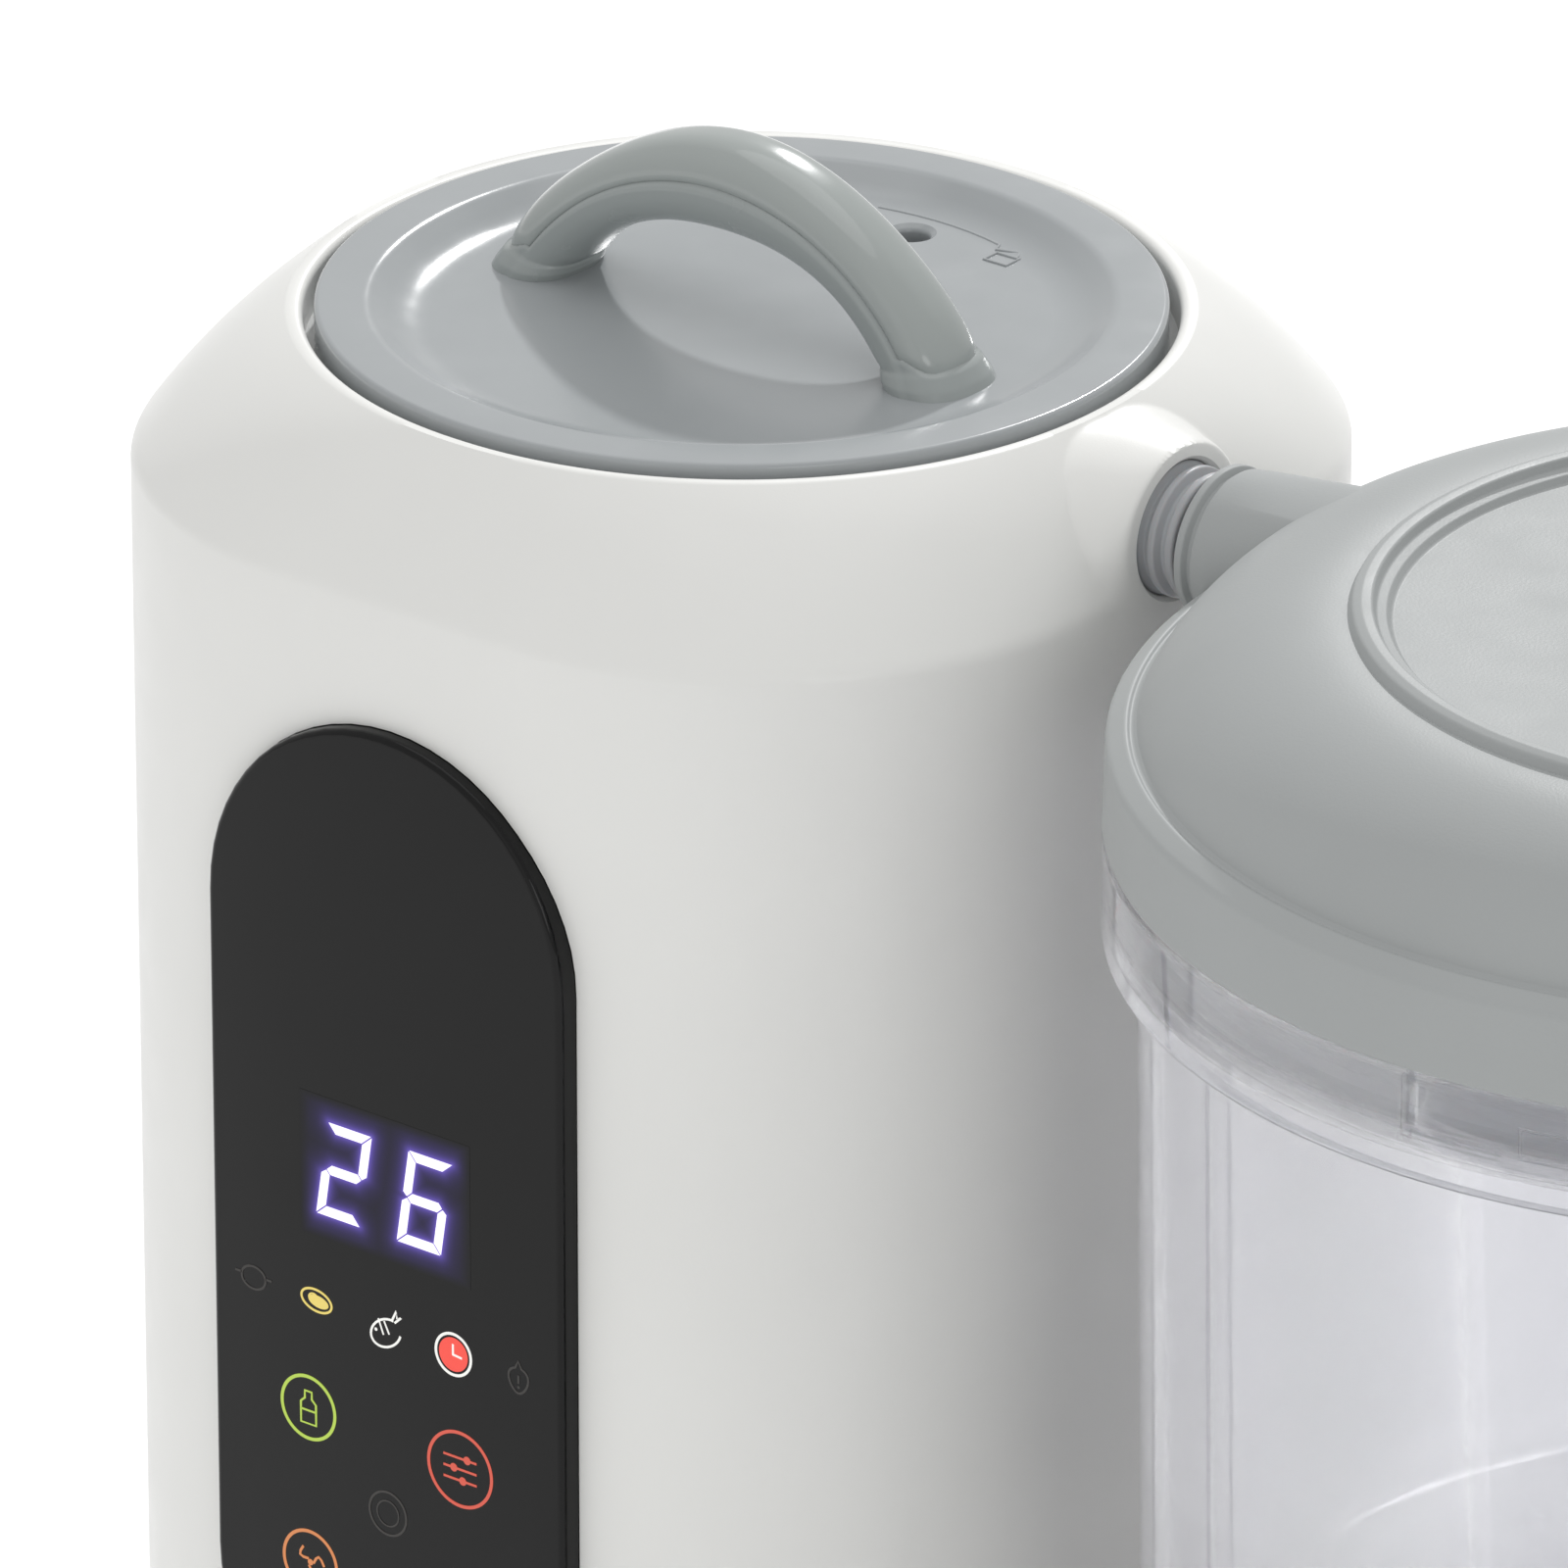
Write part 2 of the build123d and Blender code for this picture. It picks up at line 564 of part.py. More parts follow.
def jar_handle():
    """Grip on the side of the jar, with a pocket at each end for the jar's lug."""
    grip_r = LID_R + HANDLE_REACH - 6.5
    bend = 17.0
    near, far = JAR_X + JAR_R - 3, JAR_X + grip_r
    path = FilletPolyline((near, 0, HANDLE_HIGH_Z), (far, 0, HANDLE_HIGH_Z), (far, 0, HANDLE_LOW_Z),
                          (near, 0, HANDLE_LOW_Z), radius=bend)
    start = Plane(origin=path @ 0, x_dir=(0, 1, 0), z_dir=path % 0)
    handle = sweep(start * RectangleRounded(21, 13, 5.2), path=path)
    handle -= turned(JAR_X, (0, 60), (JAR_FOOT_R + 0.15, 60), (JAR_FOOT_R + 0.15, JAR_FLOOR_Z + 11),
                     (JAR_R + 0.15, JAR_RIM_Z - 1.5), (JAR_R + 0.15, JAR_RIM_Z), (0, JAR_RIM_Z))
    for z in handle_lug_places():
        handle -= block((JAR_X + JAR_FOOT_R - 4, JAR_X + LID_R + 5.2), (-4.2, 4.2), (z - 3.2, z + 3.2))
        handle -= rod(HANDLE_SCREW_R + SLIP, z - 10, z, HANDLE_SCREW_X, 0)
        handle -= rod(3.1, z - 10, z - 4.6, HANDLE_SCREW_X, 0)
    return handle


def handle_screws():
    screws = []
    x = HANDLE_SCREW_X
    for z in handle_lug_places():
        screw = rod(2.9, z - 6.2, z - 4.6, x, 0) + rod(HANDLE_SCREW_R, z - 4.6, z + 2.8, x, 0)
        screws.append(screw - block((x - 2, x + 2), (-0.4, 0.4), (z - 7, z - 5.6)))
    return group(screws)


COLLAR_LOW = SEAT_Z + 2.35
PLATE_LOW = JAR_FLOOR_Z - 2.8


def jar_collar():
    """Foot of the jar: it closes the underside and stands in the seat of the plinth."""
    collar = turned(JAR_X, (BUSH_R, PLATE_LOW), (61.5, PLATE_LOW), (61.5, COLLAR_LOW), (64.6, COLLAR_LOW),
                    (64.8, PLINTH_TOP + 1), (66.4, PLINTH_TOP + 3), (JAR_FOOT_R - 11, JAR_FLOOR_Z),
                    (BUSH_R, JAR_FLOOR_Z))
    px, py = PLUNGER_PLACE
    collar += rod(5.0, SEAT_Z + 2.1, PLATE_LOW, px, py)
    for angle in range(0, 360, 30):
        rib = block((42, 61.8), (-0.9, 0.9), (PLATE_LOW - 5, PLATE_LOW))
        if angle != 90:
            collar += Pos(JAR_X, 0, 0) * Rot(0, 0, angle) * rib
    return collar - ring(36.0, 32.0, JAR_FLOOR_Z - 1.5, JAR_FLOOR_Z + 1, JAR_X)


def jar_gasket():
    return ring(36.0 - SLIP, 32.0 + SLIP, JAR_FLOOR_Z - 1.5, JAR_FLOOR_Z, JAR_X)


def blade_bush():
    """Flanged bearing sleeve through the floor of the jar."""
    low = PLATE_LOW - 1.4
    floor_top = JAR_FLOOR_Z + 2.8
    bush = rod(BUSH_R - SLIP, low, floor_top, JAR_X) + rod(11, floor_top, floor_top + 2, JAR_X)
    return bush - rod(SHAFT_R + 0.05, low - 1, JAR_FLOOR_Z + 6, JAR_X)


def blade_seal():
    """Lip seal round the blade shaft, on the bush."""
    z = JAR_FLOOR_Z + 4.8
    inner = SHAFT_R + 0.08
    return turned(JAR_X, (inner, z), (8.0, z), (8.0, z + 1.2), (SHAFT_R + 1.2, z + 2.8), (inner, z + 2.8))


def seat_ring():
    """Rubber mat ring on the floor of the seat."""
    return ring(65.8, 60.0, SEAT_Z, SEAT_Z + 2.2, JAR_X)


# ---- drive --------------------------------------------------------------------------------------
COUPLING_LOW = SEAT_Z + 2.0
HUB_Z = JAR_FLOOR_Z + 8.4


def lobes(radius, grow):
    """Six-lobed outline of the couplings."""
    star = Circle(0.62 * radius + grow)
    for x, y in around(6, 0.70 * radius):
        star += Pos(x, y) * Circle(0.30 * radius + grow)
    return star


def drive_coupling():
    z = COUPLING_LOW + 0.5
    coupling = Pos(JAR_X, 0, z) * extrude(lobes(8.2, 0), 6)
    return coupling - rod(SHAFT_R + SLIP, z - 1, z + 4.5, JAR_X)


def driven_coupling():
    cup = rod(12, COUPLING_LOW, COUPLING_LOW + 10.2, JAR_X)
    cup -= Pos(JAR_X, 0, COUPLING_LOW - 1) * extrude(lobes(8.2, 0.45), 8.2)
    return cup - rod(SHAFT_R + SLIP, COUPLING_LOW + 7, COUPLING_LOW + 12, JAR_X)


def blade_shaft():
    return rod(SHAFT_R, COUPLING_LOW + 7.4, HUB_Z + 9.2, JAR_X)


def blades():
    """Hub with four bent blades, two rising and two falling."""
    hub = rod(7.5, HUB_Z, HUB_Z + 7, JAR_X)
    outline = Polyline((3, -5.5), (BLADE_R - 5, -4.2), (BLADE_R, 2.5), (BLADE_R - 9, 4.6), (3, 5.5),
                       close=True)
    for i in range(4):
        tilt = 24 if i % 2 else -10
        height = HUB_Z + (4.6 if i % 2 else 2.2)
        blade = extrude(make_face(outline), 1.2)
        hub += Pos(JAR_X, 0, height) * Rot(0, 0, 90 * i) * Rot(0, -tilt, 0) * blade
    return hub - rod(SHAFT_R + SLIP, HUB_Z - 3, HUB_Z + 12, JAR_X)


def blade_nut():
    """Hexagon nut with a domed cap on top of the blades."""
    z = HUB_Z + 9.2
    nut = Pos(JAR_X, 0, z) * extrude(RegularPolygon(5.6, 6), 3.6)
    cap = rod(4.2, z + 3.0, z + 6.4, JAR_X)
    return nut + fillet(cap.edges().sort_by(Axis.Z)[-1], 2.4)


def motor_shaft():
    return rod(SHAFT_R, 11.0, COUPLING_LOW + 4.6, JAR_X)


CAN_LOW, CAN_TOP = 20.0, 51.0


def motor_can():
    can = rod(MOTOR_R, CAN_LOW, CAN_TOP, JAR_X) - rod(MOTOR_R - 1.6, CAN_LOW, CAN_TOP - 1.6, JAR_X)
    can -= rod(8.2, CAN_TOP - 3, CAN_TOP + 1, JAR_X)
    for x, y in around(6, 17, JAR_X):
        can -= rod(4.0, CAN_TOP - 3, CAN_TOP + 1, x, y)
    return can


def motor_end_plate():
    plate = rod(MOTOR_R, CAN_LOW - 2.4, CAN_LOW, JAR_X) - rod(8.2, CAN_LOW - 3, CAN_LOW + 1, JAR_X)
    for x, y in around(6, 18, JAR_X):
        plate -= rod(4.5, CAN_LOW - 3, CAN_LOW + 1, x, y)
    return plate


def motor_bearings():
    low = ring(8.2 - SLIP, SHAFT_R + 0.04, CAN_LOW - 2.4, CAN_LOW + 3, JAR_X)
    high = ring(8.2 - SLIP, SHAFT_R + 0.04, CAN_TOP - 5, CAN_TOP, JAR_X)
    return group([low, high])


def stator_core():
    return ring(MOTOR_R - 1.6 - SLIP, 20.0, 27, 42, JAR_X)


def field_coils():
    return group([ring(25.6, 20.6, 42.2, 46.5, JAR_X), ring(25.6, 20.6, 22.5, 26.8, JAR_X)])


def motor_rotor():
    """Slotted armature on the motor shaft."""
    rotor = ring(19.2, SHAFT_R + SLIP, 27, 42, JAR_X)
    for x, y in around(12, 19.2, JAR_X):
        rotor -= rod(1.6, 26, 43, x, y)
    return rotor


def cooling_fan():
    """Fan under the motor, drawing air through the slots of the bottom cover."""
    z = 10.2
    fan = ring(6.5, SHAFT_R + SLIP, z + 1.5, z + 6.5, JAR_X) + ring(23.5, 6.0, z + 5.2, z + 6.5, JAR_X)
    for angle in range(0, 360, 40):
        fan += Pos(JAR_X, 0, 0) * Rot(0, 0, angle) * block((6, 23), (-0.6, 0.6), (z, z + 5.4))
    return fan


BRACKET_Z = CAN_TOP


def mount_places():
    return around(3, 37, JAR_X, 0, first=30)


def motor_bracket():
    """Plate that carries the motor under the jar seat on three rubber bushes."""
    plate = rod(30, BRACKET_Z, BRACKET_Z + 1.8, JAR_X)
    for x, y in mount_places():
        plate += rod(7, BRACKET_Z, BRACKET_Z + 1.8, x, y)
    for x, y in around(3, 31, JAR_X, 0, first=30):
        plate += rod(7, BRACKET_Z, BRACKET_Z + 1.8, x, y)
    return plate - rod(9, BRACKET_Z - 1, BRACKET_Z + 3, JAR_X)


def motor_mounts():
    low = BRACKET_Z + 1.8
    return group([rod(5.5, low, SEAT_Z - PLATE_T, x, y) for x, y in mount_places()])


def drip_seal():
    """Rubber seal that closes the hole of the jar seat round the motor shaft."""
    z = SEAT_Z - PLATE_T
    inner, outer = SHAFT_R + 0.08, SEAT_HOLE_R - SLIP
    return turned(JAR_X, (inner, z + 1.2), (SHAFT_R + 2.2, z + 1.2), (8, z + 0.2), (outer, z + 0.2),
                  (outer, z + 2.0), (8.6, z + 2.0), (inner, z + 3.2))


# ---- interlock ----------------------------------------------------------------------------------
SWITCH_TOP = 45.6


def interlock_plunger():
    """Pin that the jar's foot holds down when it is seated."""
    px, py = PLUNGER_PLACE
    low, collar = SWITCH_TOP + 2.6, SWITCH_TOP + 4.6
    pin = turned(0, (0, low), (3, low), (3, collar), (4.6, collar), (4.6, collar + 1.2), (3, collar + 1.2),
                 (3, SEAT_Z + 1.2), ((2.4, SEAT_Z + 1.7), (1.6, SEAT_Z + 1.8)), (0, SEAT_Z + 1.8))
    return Pos(px, py, 0) * pin


def interlock_spring():
    """Coil spring between the switch and the plunger's flange."""
    px, py = PLUNGER_PLACE
    wire = 0.35
    low, high = SWITCH_TOP + wire + 0.05, SWITCH_TOP + 4.6 - wire - 0.05
    coil = Helix(pitch=(high - low) / 3.5, height=high - low, radius=3.9)
    section = Plane(origin=coil @ 0, z_dir=coil % 0) * Circle(wire)
    return Pos(px, py, low) * sweep(section, path=coil, is_frenet=True)


def interlock_switch():
    px, py = PLUNGER_PLACE
    body = block((px - 13.5, px + 13.5), (py - 3.6, py + 3.6), (SWITCH_TOP - 11, SWITCH_TOP))
    return body + rod(1.2, SWITCH_TOP, SWITCH_TOP + 0.4, px, py)


# ---- steam basket -------------------------------------------------------------------------------
BASKET_R = 70.4
BASKET_FLOOR = 112.0


def steam_basket():
    """Cup that hangs in the jar by its flange, with a perforated floor and side holes near the floor."""
    flange, flange_r = JAR_RIM_Z + 2.6 + GAP, LID_R - JAR_WALL - 1.0
    floor_top = BASKET_FLOOR + 1.9
    basket = turned(JAR_X, (0, BASKET_FLOOR), (BASKET_R - 7, BASKET_FLOOR),
                    ((BASKET_R - 3, BASKET_FLOOR + 1.6), (BASKET_R - 1.2, BASKET_FLOOR + 6)),
                    (BASKET_R, flange), (flange_r, flange), (flange_r, flange + 1.6),
                    (BASKET_R - 1.9, flange + 1.6), (BASKET_R - 3.1, BASKET_FLOOR + 6),
                    ((BASKET_R - 4.4, BASKET_FLOOR + 3.2), (BASKET_R - 7, floor_top)), (0, floor_top))
    for count, radius in ((1, 0.0), (6, 12.0), (12, 24.0), (18, 36.0), (24, 48.0)):
        for x, y in around(count, radius, JAR_X):
            basket -= rod(1.9, BASKET_FLOOR - 1, BASKET_FLOOR + 3, x, y)
    return basket


# ---- jar lid ------------------------------------------------------------------------------------
LID_T = 2.4
DISC_Z = RIM_Z + 1.1        # middle disc of the jar lid
SKIRT_LOW = JAR_RIM_Z + 5.0
SPOUT_REACH = 86.7          # spout tip to jar axis
SPOUT_TIP_R = 9.0


def jar_lid():
    """Domed lid: band, dome, raised ring, middle disc, inner skirt and steam spout."""
    ring_z = RIM_Z + 3.5
    lid = turned(JAR_X, (LID_R, LID_BAND_Z), (LID_R - 0.5, LID_BAND_Z + 9.5),
                 ((LID_R - 1.0, LID_BAND_Z + 11.2), (LID_R - 2.4, LID_BAND_Z + 12.3)),
                 ((69.8, RIM_Z - 3.6), (54.6, RIM_Z + 1.9)), ((54.0, RIM_Z + 3.0), (53.0, ring_z)),
                 (51.9, ring_z - 0.2), (51.0, RIM_Z + 2.2), ((50.2, RIM_Z + 1.4), (48.8, DISC_Z)),
                 (0, DISC_Z), (0, DISC_Z - LID_T), (49.5, DISC_Z - LID_T),
                 ((66.0, RIM_Z - 5.6), (76.8, LID_BAND_Z + 9.6)),
                 (76.8, SKIRT_LOW), (78.4, SKIRT_LOW), (78.4, LID_BAND_Z))
    tip = JAR_X - SPOUT_REACH
    length = 30.0
    along_x = Plane(origin=(tip, 0, PORT_Z), x_dir=(0, 1, 0), z_dir=(1, 0, 0))
    spout = along_x * loft([Circle(SPOUT_TIP_R), Pos(0, 0, length) * Circle(SPOUT_TIP_R + 3.6)])
    spout += rod_x(SPOUT_TIP_R + 0.6, tip, tip + 1.6, z=PORT_Z)
    lid += spout
    return lid - rod_x(DUCT_R + 1.6, tip - 1, tip + length + 1, z=PORT_Z)


def jar_lid_seal():
    """Silicone sleeve round the skirt of the jar lid, with two lips."""
    low, high = SKIRT_LOW + 0.3, LID_BAND_Z - GAP
    inner = 78.4 + SLIP + 0.1
    wall, lip = 79.5, 80.3
    return turned(JAR_X, (inner, low), (wall, low), (lip, low + 1.2), (wall, low + 2.4), (wall, high - 3.2),
                  (lip, high - 2.0), (lip, high), (inner, high))


def lid_handle():
    return Pos(JAR_X, 0, DISC_Z) * Rot(0, 0, 90) * handle_arch()


def lid_handle_insert():
    return Pos(JAR_X, 0, DISC_Z) * Rot(0, 0, 90) * handle_strip(0)


# ---- everything ---------------------------------------------------------------------------------
PIECES = [
    base_housing, tower_shell, bottom_cover, rubber_feet, cover_screws, tower_screws, cord_gland,
    control_panel, display_module, control_board, touch_springs, board_screws, power_board, power_parts,
    water_tank, boiler_seal, heating_plate, heat_spreader, heating_element, thermostat, thermal_fuse,
    steam_duct, port_gasket, tank_lid, tank_lid_seal, tank_handle, tank_handle_insert,
    seat_ring, drip_seal, motor_can, motor_end_plate, motor_bearings, stator_core, field_coils, motor_bracket,
    motor_mounts, motor_shaft, motor_rotor, cooling_fan, drive_coupling,
    interlock_plunger, interlock_spring, interlock_switch,
    jar_body, jar_handle, handle_screws, jar_collar, jar_gasket, blade_bush, blade_seal,
    driven_coupling, blade_shaft, blades, blade_nut,
    steam_basket, jar_lid_seal, jar_lid, lid_handle, lid_handle_insert,
]

for piece in PIECES:
    save(piece.__name__, piece())
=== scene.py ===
"""Looks of the baby food maker, built round its CAD frame.

Shapes are worked out in millimetres and turned into metres when a mesh is made. Places and main sizes come
from the frame's boxes. The controls face -Y, the tower stands on the -X side and the jar on the +X side.
"""

import cmath
from math import asin, ceil, cos, hypot, pi, radians, sin, sqrt, tan

import bmesh
import bpy
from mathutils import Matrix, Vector


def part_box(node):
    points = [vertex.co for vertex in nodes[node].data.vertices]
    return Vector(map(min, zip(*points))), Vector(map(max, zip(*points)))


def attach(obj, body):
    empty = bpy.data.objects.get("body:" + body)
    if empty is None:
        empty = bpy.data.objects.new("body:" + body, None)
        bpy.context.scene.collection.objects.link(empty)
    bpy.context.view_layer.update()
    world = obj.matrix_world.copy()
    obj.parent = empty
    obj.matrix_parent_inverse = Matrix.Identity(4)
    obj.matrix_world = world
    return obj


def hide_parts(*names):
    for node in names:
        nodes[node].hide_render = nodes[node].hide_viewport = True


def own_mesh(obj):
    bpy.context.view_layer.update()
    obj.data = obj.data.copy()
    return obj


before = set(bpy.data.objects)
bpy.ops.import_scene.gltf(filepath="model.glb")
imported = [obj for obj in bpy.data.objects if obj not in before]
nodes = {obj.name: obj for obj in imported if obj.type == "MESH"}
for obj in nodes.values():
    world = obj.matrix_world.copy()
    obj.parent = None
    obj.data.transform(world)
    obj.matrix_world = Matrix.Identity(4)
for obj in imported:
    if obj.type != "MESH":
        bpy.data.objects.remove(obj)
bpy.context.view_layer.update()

MM = 0.001
ROUND = 256                 # facets of a full turn on the large round pieces
FACET = radians(7)          # turn of one facet on a small rounded edge


# ---- places and sizes from the frame, in millimetres
def box(node):
    low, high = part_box(node)
    return low / MM, high / MM


tower_low, tower_high = box("tower_shell")
TOWER_X = (tower_low.x + tower_high.x) / 2
TOWER_HALF = (tower_high.y - tower_low.y) / 2
RIM_Z = tower_high.z
TOWER_FOOT_Z = tower_low.z
seal_low, seal_high = box("jar_lid_seal")
JAR_X = (seal_low.x + seal_high.x) / 2
jar_low, jar_high = box("jar_body")
lid_low, lid_high = box("jar_lid")
LID_R = lid_high.y
LID_BAND_Z = seal_high.z + 0.3
PANEL_LOW, PANEL_HIGH = box("control_panel")
PANEL_FRONT = PANEL_LOW.y
TANK_TOP = box("water_tank")[1].z
TANK_LID_R = box("tank_lid")[1].y
handle_low, handle_high = box("tank_handle")
HANDLE_FLOOR_Z = handle_low.z
LID_HANDLE_Z = box("lid_handle")[0].z
port_low, port_high = box("port_gasket")
PORT_Z = (port_low.z + port_high.z) / 2
PORT_BORE = port_high.y + 0.05
display_low, display_high = box("display_module")
DIGITS_Z = (display_low.z + display_high.z) / 2
TOUCH_SPRING_R = 3
springs_low, springs_high = box("touch_springs")
KEY_LOW_Z, KEY_HIGH_Z = springs_low.z + TOUCH_SPRING_R, springs_high.z - TOUCH_SPRING_R
KEY_X = springs_high.x - TOUCH_SPRING_R - TOWER_X

TOWER_FLAT = 17.5           # half the straight stretch of the tower's sides
SHELL_T = 2.6
CREASE_Z = RIM_Z - 17.3     # where the wall turns into the shoulder
MOUTH_R = 53.3              # radius of the tower's mouth, round the tank lid


# ---- materials
def srgb(red, green, blue):
    """Linear colour of an 8-bit one."""
    def linear(value):
        value /= 255
        return value / 12.92 if value <= 0.04045 else ((value + 0.055) / 1.055) ** 2.4
    return (linear(red), linear(green), linear(blue), 1.0)


def scaled(colour, factor):
    return tuple(min(1.0, part * factor) for part in colour[:3]) + (1.0,)


def noise(tree, scale, detail=3.0):
    """Noise fixed to the object, its scale in features per metre."""
    place = tree.nodes.new("ShaderNodeTexCoord")
    texture = tree.nodes.new("ShaderNodeTexNoise")
    texture.inputs["Scale"].default_value = scale
    texture.inputs["Detail"].default_value = detail
    tree.links.new(place.outputs["Object"], texture.inputs["Vector"])
    return texture.outputs["Fac"]


def spread(tree, factor, low, high):
    """Maps the middle range of a noise or a facing weight to low..high."""
    ranged = tree.nodes.new("ShaderNodeMapRange")
    ranged.inputs["From Min"].default_value = 0.3
    ranged.inputs["From Max"].default_value = 0.7
    ranged.inputs["To Min"].default_value = low
    ranged.inputs["To Max"].default_value = high
    tree.links.new(factor, ranged.inputs["Value"])
    return ranged.outputs["Result"]


def mixed(tree, low, high, factor):
    """Colour between two."""
    mix = tree.nodes.new("ShaderNodeMix")
    mix.data_type = "RGBA"
    mix.inputs["A"].default_value = low
    mix.inputs["B"].default_value = high
    tree.links.new(factor, mix.inputs["Factor"])
    return mix.outputs["Result"]


def material(name, colour, rough, tint=0.03, rough_play=0.04, grain=0.05, grain_scale=3500, **sockets):
    """Moulded or metal surface: a base colour that drifts a little, uneven gloss and a fine grain."""
    made = bpy.data.materials.new(name)
    made.use_nodes = True
    tree = made.node_tree
    shader = tree.nodes["Principled BSDF"]
    drift = mixed(tree, scaled(colour, 1 - tint), scaled(colour, 1 + tint), spread(tree, noise(tree, 28), 0, 1))
    tree.links.new(drift, shader.inputs["Base Color"])
    gloss = spread(tree, noise(tree, 130, 4), max(0.0, rough - rough_play), rough + rough_play)
    tree.links.new(gloss, shader.inputs["Roughness"])
    if grain:
        bump = tree.nodes.new("ShaderNodeBump")
        bump.inputs["Strength"].default_value = grain
        bump.inputs["Distance"].default_value = 0.0002
        tree.links.new(noise(tree, grain_scale, 2), bump.inputs["Height"])
        tree.links.new(bump.outputs["Normal"], shader.inputs["Normal"])
    for socket, value in sockets.items():
        shader.inputs[socket.replace("_", " ")].default_value = value
    return made


def glow(name, colour, strength):
    """Surface that gives off light: a lit legend on the black plate, or the floor."""
    return material(name, scaled(colour, 0.6), 0.35, grain=0, Emission_Color=colour, Emission_Strength=strength)


def denser_edge_on(made, face_on, edge_on):
    """Glass whose cover rises from face_on to edge_on towards its rims."""
    tree = made.node_tree
    weight = tree.nodes.new("ShaderNodeLayerWeight")
    weight.inputs["Blend"].default_value = 0.35
    cover = spread(tree, weight.outputs["Facing"], face_on, edge_on)
    tree.links.new(cover, tree.nodes["Principled BSDF"].inputs["Alpha"])


WHITE = material("white_moulding", srgb(238, 238, 235), 0.34, tint=0.012, grain=0.05, IOR=1.48)
GREY = material("grey_moulding", srgb(166, 170, 172), 0.2, tint=0.02, grain=0.03, Coat_Weight=0.1,
                Coat_Roughness=0.08)
GREY_SATIN = material("grey_satin", srgb(172, 175, 175), 0.44, tint=0.02, grain=0.12, grain_scale=2600,
                      Specular_IOR_Level=0.15)
GREY_GRIP = material("grey_grip", srgb(160, 166, 165), 0.24, tint=0.02, grain=0.03, Coat_Weight=0.2,
                     Coat_Roughness=0.1)
GREY_INLAY = material("grey_inlay", srgb(164, 170, 168), 0.2, tint=0.02, grain=0.02, Coat_Weight=0.6,
                      Coat_Roughness=0.04)
PANEL_BLACK = material("panel_black", srgb(17, 17, 17), 0.08, tint=0.06, grain=0, IOR=1.33)
CLEAR = material("clear_plastic", (0.935, 0.93, 0.985, 1), 0.03, tint=0.006, rough_play=0.015, grain=0.015,
                 grain_scale=900, Transmission_Weight=1.0, IOR=1.5, Alpha=0.5)
denser_edge_on(CLEAR, 0.42, 1.0)
FROSTED = material("frosted_plastic", (0.93, 0.94, 0.96, 1), 0.22, tint=0.01, grain=0.05,
                   Transmission_Weight=0.88, IOR=1.46, Alpha=0.5)
TANK_WHITE = material("tank_white", srgb(226, 227, 226), 0.4, tint=0.02, grain=0.08)
SILICONE = material("silicone_grey", srgb(172, 174, 177), 0.42, tint=0.03, grain=0.08, Subsurface_Weight=0.1,
                    Subsurface_Scale=0.002)
SILICONE_CLEAR = material("silicone_clear", srgb(212, 214, 216), 0.36, tint=0.02, grain=0.06,
                          Transmission_Weight=0.35, IOR=1.42)
RUBBER = material("rubber_black", srgb(34, 34, 35), 0.62, tint=0.08, grain=0.3, grain_scale=1800)
PART_BLACK = material("part_black", srgb(30, 31, 33), 0.46, tint=0.06, grain=0.15)
BOARD_GREEN = material("board_green", srgb(32, 92, 58), 0.32, tint=0.1, grain=0.12, grain_scale=1500)


def metal(name, colour, rough, **looks):
    return material(name, colour, rough, Metallic=1.0, **looks)


STAINLESS = metal("stainless", srgb(196, 197, 198), 0.24, tint=0.03, grain=0.1, grain_scale=5200)
BLADE_STEEL = metal("blade_steel", srgb(206, 207, 208), 0.16, tint=0.02, grain=0.06, grain_scale=5200)
ZINC = metal("zinc_screw", srgb(188, 190, 196), 0.3, tint=0.05, grain=0.12)
CASTING = metal("cast_aluminium", srgb(172, 174, 176), 0.5, tint=0.05, grain=0.5, grain_scale=1300)
CORE = metal("core_steel", srgb(104, 106, 110), 0.44, tint=0.08, grain=0.25, grain_scale=2600)
COPPER = metal("copper_wire", srgb(188, 104, 58), 0.32, tint=0.1, grain=0.5, grain_scale=1700)
BRONZE = metal("bearing_bronze", srgb(166, 128, 78), 0.38, tint=0.06, grain=0.2)

DIGIT_LIT = glow("digit_lit", srgb(236, 230, 255), 1.0)
WHITE_LIT = glow("legend_white", srgb(226, 226, 222), 0.75)
YELLOW_LIT = glow("legend_yellow", srgb(226, 204, 108), 0.6)
RED_LIT = glow("legend_red", srgb(226, 72, 60), 0.75)
KEY_GREEN = glow("key_green", srgb(168, 194, 74), 0.7)
KEY_RED = glow("key_red", srgb(200, 80, 62), 0.7)
KEY_ORANGE = glow("key_orange", srgb(200, 124, 72), 0.7)
LEGEND_OFF = material("legend_off", srgb(50, 47, 44), 0.3, tint=0.05, grain=0)


def halo_material():
    """Black window whose violet glow follows the mesh attribute called halo."""
    made = material("display_window", srgb(16, 16, 17), 0.08, tint=0.05, grain=0, IOR=1.33,
                    Emission_Strength=1.0)
    tree = made.node_tree
    light = tree.nodes.new("ShaderNodeAttribute")
    light.attribute_name = "halo"
    violet = mixed(tree, (0, 0, 0, 1), srgb(104, 84, 190), light.outputs["Fac"])
    tree.links.new(violet, tree.nodes["Principled BSDF"].inputs["Emission Color"])
    return made


HALO = halo_material()


# ---- meshes
def linked(name, data):
    """Object in the scene, with its data."""
    made = bpy.data.objects.new(name, data)
    bpy.context.scene.collection.objects.link(made)
    return made


def mesh_object(name, points, faces):
    """Object from points in millimetres."""
    mesh = bpy.data.meshes.new(name)
    mesh.from_pydata([Vector(p) * MM for p in points], [], faces)
    return linked(name, mesh)


